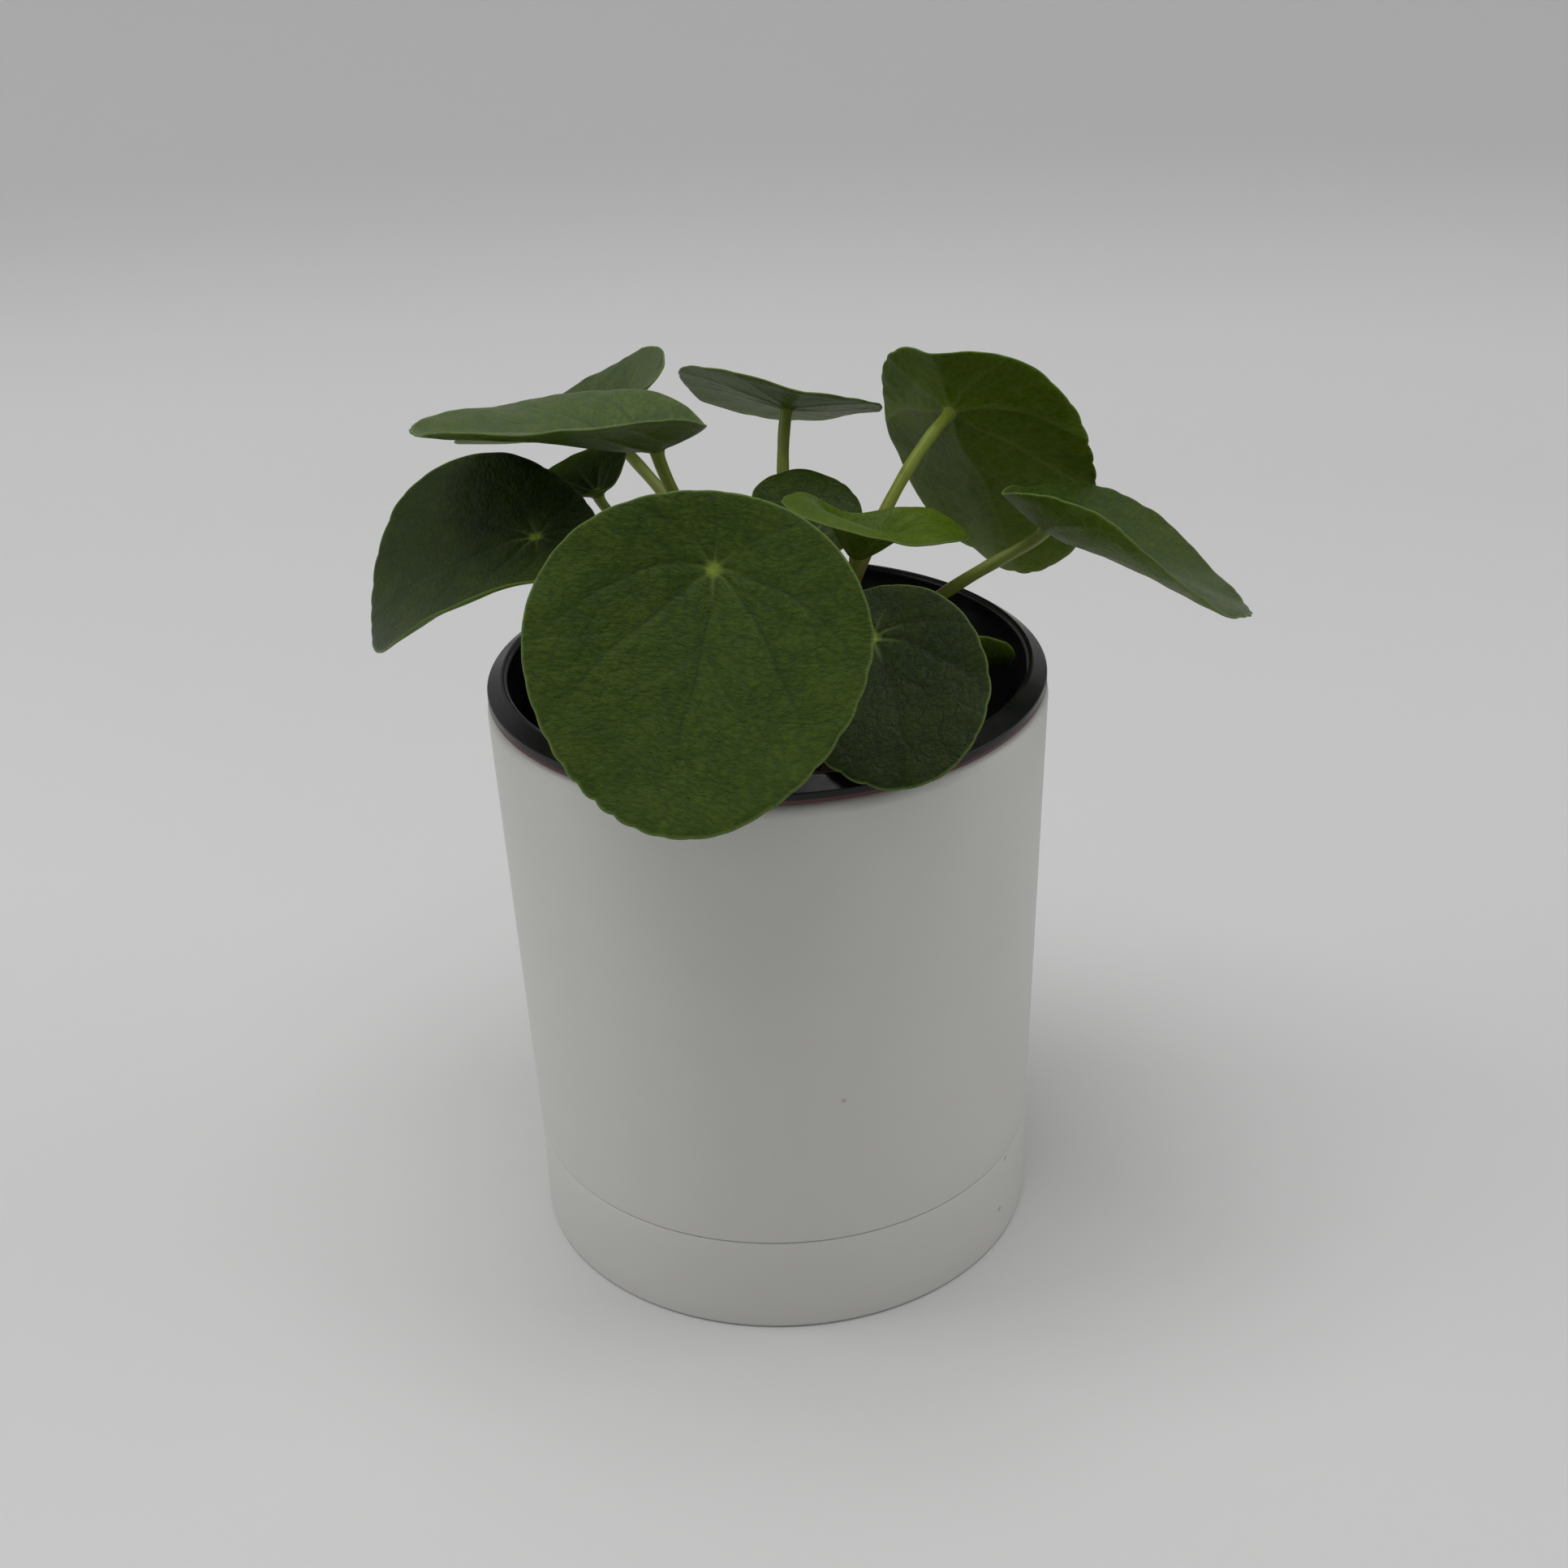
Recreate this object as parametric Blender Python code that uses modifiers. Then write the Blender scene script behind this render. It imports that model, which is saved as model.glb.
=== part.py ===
"""Potted Chinese money plant in a two-part planter.

World frame: metres, +Z up, origin on the resting surface under the planter's
axis, +X to the right and +Y to the back.  Sizes below are in millimetres and
are multiplied by MM once, where the geometry is made.
"""
import math

import bmesh
import bpy
import numpy as np
from mathutils import Vector

MM = 0.001

# ---------------------------------------------------------------- overall
GAP = 0.3                # clearance between pieces that touch in real life
ROUND_STEPS = 48         # facets round the planter's axis

# ---------------------------------------------------------------- planter
SEAM_HEIGHT = 21.0       # top of the saucer's wall
SAUCER_TAPER = 0.2       # how much narrower the saucer is at its foot
SEAM_RADIUS = 51.7       # outside of the saucer and of the pot where they meet
SAUCER_WALL = 2.2
SAUCER_FLOOR = 3.0
SAUCER_EDGE = 1.0        # rounding of the saucer's lower edge
SEAM_EDGE = 0.4          # small rounding each side of the seam

POT_TOP_RADIUS = 54.3    # outside of the pot just under its lip
POT_LIP_HEIGHT = 118.3   # top of the pot's rounded lip
POT_LIP_ROUND = 2.4      # rounding outside the lip
POT_LIP_EASE = 0.8       # rounding inside the lip
POT_WALL = 2.6
POT_FLOOR = 2.5
POT_STEP_RISE = 5.0      # inside slope from the foot to the wall
DRAIN_RADIUS = 3.5
POT_DRAINS = 4
POT_DRAIN_CIRCLE = 26.0
DRAIN_TURN = 0.4         # where a ring of drains starts, share of its spacing
HOLE_STEPS = 14          # facets round a hole

# ------------------------------------------------------------ nursery pot
RIM_INSET = 0.3          # the rim's outside, in from the planter's
RIM_EDGE_RISE = 2.6      # its outer edge above the planter's lip
RIM_CREST_RISE = 4.4     # its crest above the planter's lip
RIM_CREST_ROUND = 1.0
RIM_EDGE_ROUND = 0.4
LEDGE_TOP_DROP = 4.4     # the ledge inside the rim slopes in from here, below the crest
LEDGE_DROP = 7.3         # down to here
LEDGE_WIDTH = 1.7
NURSERY_FOOT_ROOM = 11.1     # from its foot out to the planter's wall
NURSERY_FOOT_RISE = 9.0      # its foot above the saucer's seam
NURSERY_WALL = 0.9
NURSERY_DRAINS = 6
NURSERY_DRAIN_CIRCLE = 27.0

# ------------------------------------------------------------- soil, stem
SOIL_DROP = 25.7         # soil level at the wall, below the rim's crest
SOIL_MOUND = 3.0         # how much higher the soil is in the middle
SOIL_RINGS = 6
POCKET_DEPTH = 12.0      # how far the stem goes down into the soil

STEM_FOOT = (5.0, 2.0)   # where the stem leaves the soil
STEM_TOP = (7.0, 1.0)    # where it ends
STEM_RISE = 18.0         # how high it stands above the soil's middle
STEM_FOOT_RADIUS = 4.4
STEM_TOP_RADIUS = 3.0
STEM_STEPS = 9
STEM_CROWN = ((1.2, 0.8), (1.9, 0.4))    # rise and narrowing of the rounded tip

# ----------------------------------------------------------------- leaves
BLADE_THICK = 0.9
BLADE_CELLS = 10         # grid cells along and across a blade
FUNNEL_SPREAD = 0.28     # width of the funnel over the stalk, share of length
CREASE_WIDTH = 4.0       # how fast the fold along the midrib opens out
CREASE_STEPS = 12
STALK_STEPS = 9
STALK_TAPER = 0.12       # how much stouter a stalk is at the stem
STALK_GAP = 3 * GAP      # from a stalk's axis ends to the stem and to the blade
STALK_LIFT = 0.38        # how steeply a stalk climbs first, share of its span
STALK_RUN = 5.0          # how long it runs square to its blade

# One row per leaf.  bearing: degrees round the planter, seen from above, of the
# place where the stalk meets the blade.  beyond and above: how far that place is
# outside the rim and over its crest.  heading, pitch and roll, in degrees: where
# the tip points seen from above, how far it points up, and the turn about the
# midrib.  egg: fuller towards the stalk's end when negative.  share: part of the
# length behind the stalk.  bend: curvature per metre of the tip half, the base
# half and across, drooping when positive.  fold: degrees each side rises along
# the midrib.  cup: depth of the funnel.  node: height above the soil's edge at
# which the stalk leaves the stem.  stalk: its radius.  lift and run: the stalk's
# own values where they differ from the usual ones.
LEAVES = {
    "front": dict(
        bearing=260.3, beyond=-6.3, above=37.3, heading=250, pitch=-64, roll=-2, length=58,
        width=60, egg=-0.14, share=0.22, bend=(-5, -1, -3), fold=5, cup=2.5, node=10, stalk=1.2),
    "left": dict(
        bearing=195.0, beyond=-11.6, above=30.3, heading=187, pitch=-7, roll=-9, length=48,
        width=55, egg=0.02, share=0.24, bend=(19, 14, -26), fold=-8, cup=0.5, node=12, stalk=1.2),
    "upper_left": dict(
        bearing=174.0, beyond=-34.9, above=42.3, heading=191, pitch=-6, roll=10, length=54,
        width=51, egg=-0.27, share=0.18, bend=(-7, -8, 6), fold=15, cup=4.6, node=18, stalk=1.2),
    "back_left": dict(
        bearing=124.0, beyond=1.5, above=32.3, heading=138, pitch=-34, roll=-4, length=50,
        width=49, egg=-0.05, share=0.29, bend=(-13, 2, -12), fold=12, cup=4.4, node=15,
        stalk=1.2),
    "small_left": dict(
        bearing=150.6, beyond=-17.3, above=28.3, heading=121, pitch=0, roll=-16, length=17,
        width=19, egg=0.0, share=0.27, bend=(5, 5, 0), fold=8, cup=3.4, node=10, stalk=1.0),
    "back": dict(
        bearing=81.5, beyond=-13.6, above=37.3, heading=108, pitch=-24, roll=19, length=45,
        width=42, egg=-0.07, share=0.3, bend=(1, 15, -11), fold=-3, cup=3.2, node=12, stalk=1.2,
        lift=0.12, run=15),
    "middle": dict(
        bearing=59.0, beyond=-36.5, above=18.3, heading=95, pitch=25, roll=6, length=24,
        width=22, egg=0.0, share=0.27, bend=(5, 5, 0), fold=3, cup=2, node=18, stalk=1.0),
    "young": dict(
        bearing=9.5, beyond=-35.8, above=19.3, heading=286, pitch=0, roll=-15, length=27,
        width=37, egg=-0.07, share=0.28, bend=(1, 5, 25), fold=15, cup=9, node=20, stalk=1.1),
    "upper_right": dict(
        bearing=42.7, beyond=-0.9, above=36.3, heading=30, pitch=-72, roll=-24, length=59,
        width=49.5, egg=-0.05, share=0.25, bend=(-3, 26, 0), fold=14, cup=3, node=14, stalk=1.2,
        lift=0.55, run=10),
    "right": dict(
        bearing=9.3, beyond=1.7, above=21.3, heading=331, pitch=-29, roll=-20, length=52,
        width=57, egg=-0.17, share=0.2, bend=(-5, 4, -33), fold=-17, cup=4.8, node=9, stalk=1.2,
        lift=0.45),
    "lower_right": dict(
        bearing=302.3, beyond=-18.5, above=16.3, heading=288, pitch=-32, roll=24, length=41,
        width=35, egg=0.0, share=0.23, bend=(2, 9, -3), fold=5, cup=2, node=15, stalk=1.1),
    "bud": dict(
        bearing=354.0, beyond=-15.8, above=-0.7, heading=352, pitch=3, roll=-55, length=13,
        width=12, egg=0.0, share=0.27, bend=(3, 5, -3), fold=8, cup=1.5, node=6, stalk=0.8,
        lift=0.15),
}


# ------------------------------------------------------------- basic tools
def clear_scene():
    """Remove whatever the new scene starts with."""
    for obj in list(bpy.data.objects):
        bpy.data.objects.remove(obj, do_unlink=True)


def collection(name):
    """A collection linked to the scene."""
    made = bpy.data.collections.new(name)
    bpy.context.scene.collection.children.link(made)
    return made


def material(name, colour, roughness, metallic=0.0):
    """A plain Principled material."""
    mat = bpy.data.materials.new(name)
    mat.use_nodes = True
    shader = mat.node_tree.nodes["Principled BSDF"]
    shader.inputs["Base Color"].default_value = (*colour, 1.0)
    shader.inputs["Roughness"].default_value = roughness
    shader.inputs["Metallic"].default_value = metallic
    mat.diffuse_color = (*colour, 1.0)
    return mat


def add_object(name, data, mat, into):
    """An object that carries its own material, linked to a collection."""
    data.materials.append(mat)
    obj = bpy.data.objects.new(name, data)
    into.objects.link(obj)
    return obj


def turned(name, profile, mat, into):
    """Turn an open profile of (radius, height) round the Z axis with a Screw.

    The profile starts and ends on the axis and runs down its outer side.
    """
    mesh = bpy.data.meshes.new(name)
    verts = [(radius * MM, 0.0, height * MM) for radius, height in profile]
    edges = [(i, i + 1) for i in range(len(verts) - 1)]
    mesh.from_pydata(verts, edges, [])
    obj = add_object(name, mesh, mat, into)
    screw = obj.modifiers.new("turn", "SCREW")
    screw.steps = ROUND_STEPS
    screw.render_steps = ROUND_STEPS
    screw.use_merge_vertices = True
    screw.merge_threshold = 0.00001
    screw.use_smooth_shade = True
    return obj


def arc(centre, radius, start_deg, end_deg, steps):
    """Profile points on a circular arc."""
    points = []
    for i in range(steps + 1):
        turn = math.radians(start_deg + (end_deg - start_deg) * i / steps)
        points.append((centre[0] + radius * math.cos(turn),
                       centre[1] + radius * math.sin(turn)))
    return points


def cut_round_hole(obj, name, centre, radius, low, high, cutters):
    """Cut an upright round hole with an exact boolean, and keep the cutter hidden."""
    mesh = bpy.data.meshes.new(name)
    work = bmesh.new()
    bmesh.ops.create_cone(work, cap_ends=True, segments=HOLE_STEPS, radius1=radius * MM,
                          radius2=radius * MM, depth=(high - low) * MM)
    work.to_mesh(mesh)
    work.free()
    tool = add_object(name, mesh, obj.data.materials[0], cutters)
    tool.location = (centre[0] * MM, centre[1] * MM, (low + high) / 2 * MM)
    tool.hide_render = True
    tool.display_type = "WIRE"
    step = obj.modifiers.new(name, "BOOLEAN")
    step.operation = "DIFFERENCE"
    step.solver = "EXACT"
    step.object = tool


def drill_drains(obj, circle, count, low, high, cutters):
    """Cut a ring of round drain holes through a floor."""
    for i in range(count):
        turn = math.tau * (i + DRAIN_TURN) / count
        centre = (circle * math.cos(turn), circle * math.sin(turn))
        cut_round_hole(obj, "%s_drain_%d" % (obj.name, i), centre, DRAIN_RADIUS,
                       low - 1, high + 1, cutters)


def rod(name, centres, radii, mat, into):
    """A round rod along a path, as a bevelled curve with filled caps."""
    curve = bpy.data.curves.new(name, "CURVE")
    curve.dimensions = "3D"
    curve.bevel_depth = MM
    curve.bevel_resolution = 2
    curve.use_fill_caps = True
    line = curve.splines.new("POLY")
    line.points.add(len(centres) - 1)
    for point, centre, radius in zip(line.points, centres, radii):
        point.co = (*(float(c) * MM for c in centre), 1.0)
        point.radius = radius
    line.use_smooth = True
    return add_object(name, curve, mat, into)


# ----------------------------------------------------------------- planter
def saucer(mat, into):
    """The shallow tray: flat underside, straight wall up to the seam."""
    inner = SEAM_RADIUS - SAUCER_WALL
    profile = [(0.0, SAUCER_FLOOR), (inner, SAUCER_FLOOR), (inner, SEAM_HEIGHT)]
    profile += arc((SEAM_RADIUS - SEAM_EDGE, SEAM_HEIGHT - SEAM_EDGE), SEAM_EDGE, 90, 0, 2)
    profile += arc((SEAM_RADIUS - SAUCER_TAPER - SAUCER_EDGE, SAUCER_EDGE), SAUCER_EDGE, 0, -90, 3)
    profile += [(0.0, 0.0)]
    return turned("saucer", profile, mat, into)


def outer_pot(mat, into, cutters):
    """The pot: tapered wall, rounded lip, and a foot that drops into the saucer."""
    base = SEAM_HEIGHT + GAP
    foot_outer = SEAM_RADIUS - SAUCER_WALL - GAP
    foot_inner = foot_outer - POT_WALL
    floor_low = SAUCER_FLOOR + GAP
    floor_high = floor_low + POT_FLOOR
    lip_centre = (POT_TOP_RADIUS - POT_LIP_ROUND, POT_LIP_HEIGHT - POT_LIP_ROUND)
    ease_centre = (lip_centre[0], POT_LIP_HEIGHT - POT_LIP_EASE)
    profile = [(0.0, floor_high), (foot_inner, floor_high),
               (foot_inner, base + POT_STEP_RISE),
               (SEAM_RADIUS - POT_WALL, base + 2 * POT_STEP_RISE),
               (ease_centre[0] - POT_LIP_EASE, lip_centre[1] - POT_STEP_RISE)]
    profile += arc(ease_centre, POT_LIP_EASE, 180, 100, 2)
    profile += arc(lip_centre, POT_LIP_ROUND, 90, 0, 4)
    profile += arc((SEAM_RADIUS - SEAM_EDGE, base + SEAM_EDGE), SEAM_EDGE, 0, -90, 2)
    profile += [(foot_outer, base), (foot_outer, floor_low), (0.0, floor_low)]
    pot = turned("outer_pot", profile, mat, into)
    drill_drains(pot, POT_DRAIN_CIRCLE, POT_DRAINS, floor_low, floor_high, cutters)
    return pot


def mouth_radius():
    """Radius of the planter's opening, inside its lip."""
    return POT_TOP_RADIUS - POT_LIP_ROUND - POT_LIP_EASE


def rim_radius():
    """Outside radius of the nursery pot's rim, which rests on the planter's lip."""
    return POT_TOP_RADIUS - RIM_INSET


def crest_height():
    """Height of the rim's crest, from which the soil and the leaves are measured."""
    return POT_LIP_HEIGHT + RIM_CREST_RISE


def ledge_height():
    """Height of the ledge inside the rim, at its inner side."""
    return crest_height() - LEDGE_DROP


def collar_radius():
    """Outside radius of the short wall that fits inside the planter's mouth."""
    return mouth_radius() - GAP


def nursery_foot_radius():
    """Outside radius of the nursery pot's foot."""
    return SEAM_RADIUS - POT_WALL - NURSERY_FOOT_ROOM


def nursery_foot_height():
    """Height of the nursery pot's underside, which hangs inside the planter."""
    return SEAM_HEIGHT + NURSERY_FOOT_RISE


def nursery_wall(height):
    """Outside radius of the nursery pot's tapered wall below its ledge."""
    foot = nursery_foot_radius()
    top = collar_radius() - LEDGE_WIDTH
    share = (height - nursery_foot_height()) / (ledge_height() - nursery_foot_height())
    return foot + (top - foot) * share


def nursery_pot(mat, into, cutters):
    """The thin growing pot: tapered wall, inner ledge, crested rim, skirt."""
    skirt_low = POT_LIP_HEIGHT + GAP
    floor_low = nursery_foot_height()
    floor_high = floor_low + NURSERY_WALL
    wall = NURSERY_WALL
    collar = collar_radius()
    foot = nursery_foot_radius()
    ledge = ledge_height()
    ledge_top = crest_height() - LEDGE_TOP_DROP
    crest = (collar - wall + RIM_CREST_ROUND, crest_height() - RIM_CREST_ROUND)
    edge = (rim_radius() - RIM_EDGE_ROUND, POT_LIP_HEIGHT + RIM_EDGE_RISE - RIM_EDGE_ROUND)
    top_wall = nursery_wall(ledge)
    profile = [(0.0, floor_high), (foot - wall, floor_high),
               (top_wall - wall, ledge), (collar - wall, ledge_top)]
    profile += arc(crest, RIM_CREST_ROUND, 180, 45, 4)
    profile += arc(edge, RIM_EDGE_ROUND, 60, 0, 1)
    profile += [(rim_radius(), skirt_low), (collar, skirt_low), (collar, ledge_top - wall),
                (top_wall, ledge - wall), (foot, floor_low), (0.0, floor_low)]
    pot = turned("nursery_pot", profile, mat, into)
    drill_drains(pot, NURSERY_DRAIN_CIRCLE, NURSERY_DRAINS, floor_low, floor_high, cutters)
    return pot


# -------------------------------------------------------------- soil, stem
def soil_height():
    """Height of the soil at the wall."""
    return crest_height() - SOIL_DROP


def soil_top(radius):
    """Height of the soil's surface, mounded towards the middle."""
    share = radius / nursery_wall(soil_height())
    return soil_height() + SOIL_MOUND * (1 - share * share)


def potting_soil(mat, into, cutters):
    """The plug of soil that fills the nursery pot, with a pocket for the stem."""
    low = nursery_foot_height() + NURSERY_WALL + GAP
    clear = NURSERY_WALL + 2 * GAP
    edge = nursery_wall(soil_height()) - clear
    radii = [edge * i / SOIL_RINGS for i in range(SOIL_RINGS + 1)]
    profile = [(radius, soil_top(radius)) for radius in radii]
    profile += [(nursery_wall(low) - clear, low), (0.0, low)]
    soil = turned("potting_soil", profile, mat, into)
    cut_round_hole(soil, "stem_pocket", STEM_FOOT, STEM_FOOT_RADIUS + 2 * GAP,
                   stem_foot_height() - GAP, soil_height() + 2 * SOIL_MOUND, cutters)
    return soil


def stem_foot_height():
    """Height of the stem's lower end, down in its pocket."""
    return soil_height() - POCKET_DEPTH


def stem_top_height():
    """Height at which the stem's rounded tip starts."""
    return soil_height() + SOIL_MOUND + STEM_RISE


def stem_share(height):
    """How far a height is up the free part of the stem: 0 at the soil, 1 at the top."""
    free = soil_height() + SOIL_MOUND + 2 * GAP
    return max(0.0, (height - free) / (stem_top_height() - free))


def stem_centre(height):
    """The stem stands straight in its pocket, then leans over to its top."""
    share = stem_share(height)
    lean = share * share * (3 - 2 * share)
    return (STEM_FOOT[0] + (STEM_TOP[0] - STEM_FOOT[0]) * lean,
            STEM_FOOT[1] + (STEM_TOP[1] - STEM_FOOT[1]) * lean, height)


def stem_radius(height):
    """The stem narrows evenly above the soil."""
    return STEM_FOOT_RADIUS + (STEM_TOP_RADIUS - STEM_FOOT_RADIUS) * stem_share(height)


def main_stem(mat, into):
    """The short brown trunk, rounded off at its growing tip."""
    heights = np.linspace(stem_foot_height(), stem_top_height(), STEM_STEPS)
    centres = [stem_centre(h) for h in heights]
    radii = [stem_radius(h) for h in heights]
    for rise, share in STEM_CROWN:
        centres.append((*STEM_TOP, stem_top_height() + rise))
        radii.append(STEM_TOP_RADIUS * share)
    return rod("main_stem", centres, radii, mat, into)


# ------------------------------------------------------------------ leaves
def blade_frame(leaf):
    """Unit vectors of a blade: towards the tip, to its left, and out of its face."""
    heading, pitch, roll = (math.radians(leaf[k]) for k in ("heading", "pitch", "roll"))
    tip = np.array([math.cos(pitch) * math.cos(heading),
                    math.cos(pitch) * math.sin(heading), math.sin(pitch)])
    level = np.array([-math.sin(heading), math.cos(heading), 0.0])
    side = math.cos(roll) * level + math.sin(roll) * np.cross(tip, level)
    return tip, side, np.cross(tip, side)


def attach_point(leaf):
    """Where the stalk meets the blade, in world millimetres."""
    bearing = math.radians(leaf["bearing"])
    reach = rim_radius() + leaf["beyond"]
    return np.array([reach * math.cos(bearing), reach * math.sin(bearing),
                     crest_height() + leaf["above"]])


def crease_run(leaf, across):
    """Follow the blade sideways from its midrib: how far out and how far up."""
    out = 0.0
    up = 0.0
    for i in range(CREASE_STEPS):
        reach = abs(across) * (i + 0.5) / CREASE_STEPS
        slope = math.radians(leaf["fold"]) * math.tanh(reach / CREASE_WIDTH)
        slope -= leaf["bend"][2] * MM * reach
        out += math.cos(slope) * abs(across) / CREASE_STEPS
        up += math.sin(slope) * abs(across) / CREASE_STEPS
    return math.copysign(out, across), up


def blade_point(leaf, across, along):
    """Bend a point of the flat blade into place, in world millimetres."""
    out, up = crease_run(leaf, across)
    curve = leaf["bend"][0 if along > 0 else 1] * MM
    angle = curve * along
    forward, sink = along, 0.0
    if angle:
        forward, sink = math.sin(angle) / curve, (math.cos(angle) - 1) / curve
    spread = FUNNEL_SPREAD * leaf["length"]
    funnel = 1 - math.exp(-(across ** 2 + along ** 2) / spread ** 2)
    tip, side, face = blade_frame(leaf)
    tip_run = forward + math.sin(angle) * up
    rise = sink + math.cos(angle) * up + leaf["cup"] * funnel
    return attach_point(leaf) + out * side + tip_run * tip + rise * face


def disc_point(leaf, u, v):
    """Map a grid point, -1 to 1 each way, to the blade's flat outline."""
    disc_u = u * math.sqrt(1 - v * v / 2)
    disc_v = v * math.sqrt(1 - u * u / 2)
    reach = math.hypot(disc_u, disc_v)
    across = 0.5 * leaf["width"] * disc_u * (1 + leaf["egg"] * disc_v / max(reach, 0.01))
    along = leaf["length"] * (0.5 * disc_v + (0.5 - leaf["share"]) * reach)
    return across, along


def leaf_blade(key, leaf, mat, into):
    """A thin blade: a grid mapped to the leaf's outline, bent, and thickened."""
    mesh = bpy.data.meshes.new("leaf_" + key)
    work = bmesh.new()
    bmesh.ops.create_grid(work, x_segments=BLADE_CELLS, y_segments=BLADE_CELLS, size=1.0)
    for vert in work.verts:
        across, along = disc_point(leaf, vert.co.x, vert.co.y)
        vert.co = Vector(blade_point(leaf, across, along)) * MM
    work.to_mesh(mesh)
    work.free()
    mesh.shade_smooth()
    blade = add_object("leaf_" + key, mesh, mat, into)
    shell = blade.modifiers.new("thickness", "SOLIDIFY")
    shell.thickness = BLADE_THICK * MM
    shell.offset = 0.0
    return blade


def stalk_path(leaf):
    """A leaf stalk's centre line: out of the stem, over, and up under its blade."""
    level_of_node = soil_height() + leaf["node"]
    node = np.array(stem_centre(level_of_node))
    target = attach_point(leaf)
    face = blade_frame(leaf)[2]
    away = target - node
    level = np.array([away[0], away[1], 0.0])
    level /= np.linalg.norm(level)
    start = node + level * (stem_radius(level_of_node) + STALK_GAP)
    span = np.linalg.norm(target - start)
    lift = leaf.get("lift", STALK_LIFT)
    rise = start + (0.5 * level + np.array([0.0, 0.0, 1.0])) * lift * span
    end = target - face * (BLADE_THICK / 2 + STALK_GAP)
    under = end - face * leaf.get("run", STALK_RUN)
    points = []
    for i in range(STALK_STEPS + 1):
        s = i / STALK_STEPS
        t = 1 - s
        points.append(t ** 3 * start + 3 * t * t * s * rise + 3 * t * s * s * under
                      + s ** 3 * end)
    points.insert(1, start + level * leaf["stalk"])
    return [tuple(p) for p in points]


def leaf_stalk(key, leaf, mat, into):
    """The round stalk of one leaf, a little stouter towards the stem."""
    path = stalk_path(leaf)
    last = len(path) - 1
    radii = [leaf["stalk"] * (1 + STALK_TAPER * (last - i) / last) for i in range(last + 1)]
    return rod("petiole_" + key, path, radii, mat, into)


# -------------------------------------------------------------------- build
def build():
    """Make every piece of the potted plant."""
    clear_scene()
    parts = collection("potted_money_plant")
    cutters = collection("cutters")
    cutters.hide_render = True
    white = material("white_plastic", (0.62, 0.63, 0.6), 0.5)
    black = material("black_plastic", (0.015, 0.015, 0.017), 0.35)
    soil = material("potting_mix", (0.03, 0.02, 0.014), 0.95)
    bark = material("stem_bark", (0.12, 0.07, 0.035), 0.8)
    green = material("leaf_green", (0.05, 0.13, 0.025), 0.35)
    stalk = material("stalk_green", (0.17, 0.2, 0.05), 0.45)
    saucer(white, parts)
    outer_pot(white, parts, cutters)
    nursery_pot(black, parts, cutters)
    potting_soil(soil, parts, cutters)
    main_stem(bark, parts)
    for key, leaf in LEAVES.items():
        leaf_blade(key, leaf, green, parts)
        leaf_stalk(key, leaf, stalk, parts)


build()
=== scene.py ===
"""The looks of a potted money plant: planter, growing pot, soil, stem and twelve leaves.

Lengths are in millimetres until a mesh is made.  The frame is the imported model's: the
origin is under the planter's middle, +Z is up and the largest leaf is towards -Y.
"""

import functools
import math

import bpy
import numpy as np
from mathutils import Matrix, Vector


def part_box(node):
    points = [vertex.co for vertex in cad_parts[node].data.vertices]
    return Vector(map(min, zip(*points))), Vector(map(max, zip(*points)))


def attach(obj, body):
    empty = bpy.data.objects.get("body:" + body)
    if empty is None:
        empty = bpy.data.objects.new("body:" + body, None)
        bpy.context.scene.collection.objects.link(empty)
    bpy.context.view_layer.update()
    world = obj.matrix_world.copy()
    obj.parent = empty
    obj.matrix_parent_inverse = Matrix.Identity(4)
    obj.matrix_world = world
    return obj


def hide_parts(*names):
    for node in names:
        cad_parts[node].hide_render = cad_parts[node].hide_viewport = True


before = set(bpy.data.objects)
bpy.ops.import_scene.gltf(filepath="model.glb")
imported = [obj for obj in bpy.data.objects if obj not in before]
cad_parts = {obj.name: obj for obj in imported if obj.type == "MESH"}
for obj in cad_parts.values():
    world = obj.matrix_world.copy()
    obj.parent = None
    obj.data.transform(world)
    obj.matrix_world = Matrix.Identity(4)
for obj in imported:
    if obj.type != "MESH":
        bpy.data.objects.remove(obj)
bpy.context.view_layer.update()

MM = 0.001

# ------------------------------------------------------- planter and growing pot
ROUND_STEPS = 192
SAUCER_TAPER = 0.2       # how much narrower the saucer is at its foot
SAUCER_WALL = 2.2
SAUCER_FLOOR = 3.0
SAUCER_FILLET = 1.0
SAUCER_EDGE = 1.0
SEAM_EDGE = 0.4
SEAM_GAP = 0.3
SEAM_CLOSE = 0.2         # the saucer is drawn this much nearer to the planter
POT_WALL = 2.6
POT_FLOOR = 2.5
POT_LIP_ROUND = 2.4
POT_LIP_EASE = 0.8
POT_STEP_RISE = 5.0
POT_DRAIN_CIRCLE = 26.0
POT_DRAINS = 4
RIM_EDGE_DROP = 1.8      # the rim's outer edge below its crest
RIM_EDGE_ROUND = 0.4
RIM_CREST_INSET = 3.1
RIM_CREST_ROUND = 1.0
RIM_SHOULDER = (1.15, 0.42)
LEDGE_TOP_DROP = 4.4     # the ledge inside the rim, below its crest
LEDGE_DROP = 7.3
LEDGE_WIDTH = 1.7
RED_BAND = 0.8           # red that shows below the black of the rim
SKIRT_EDGE = 0.2
NURSERY_WALL = 0.9
NURSERY_FOOT_RADIUS = 38.0
NURSERY_DRAIN_CIRCLE = 27.0
NURSERY_DRAINS = 6
DRAIN_RADIUS = 3.5
DRAIN_TURN = 0.4

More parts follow.
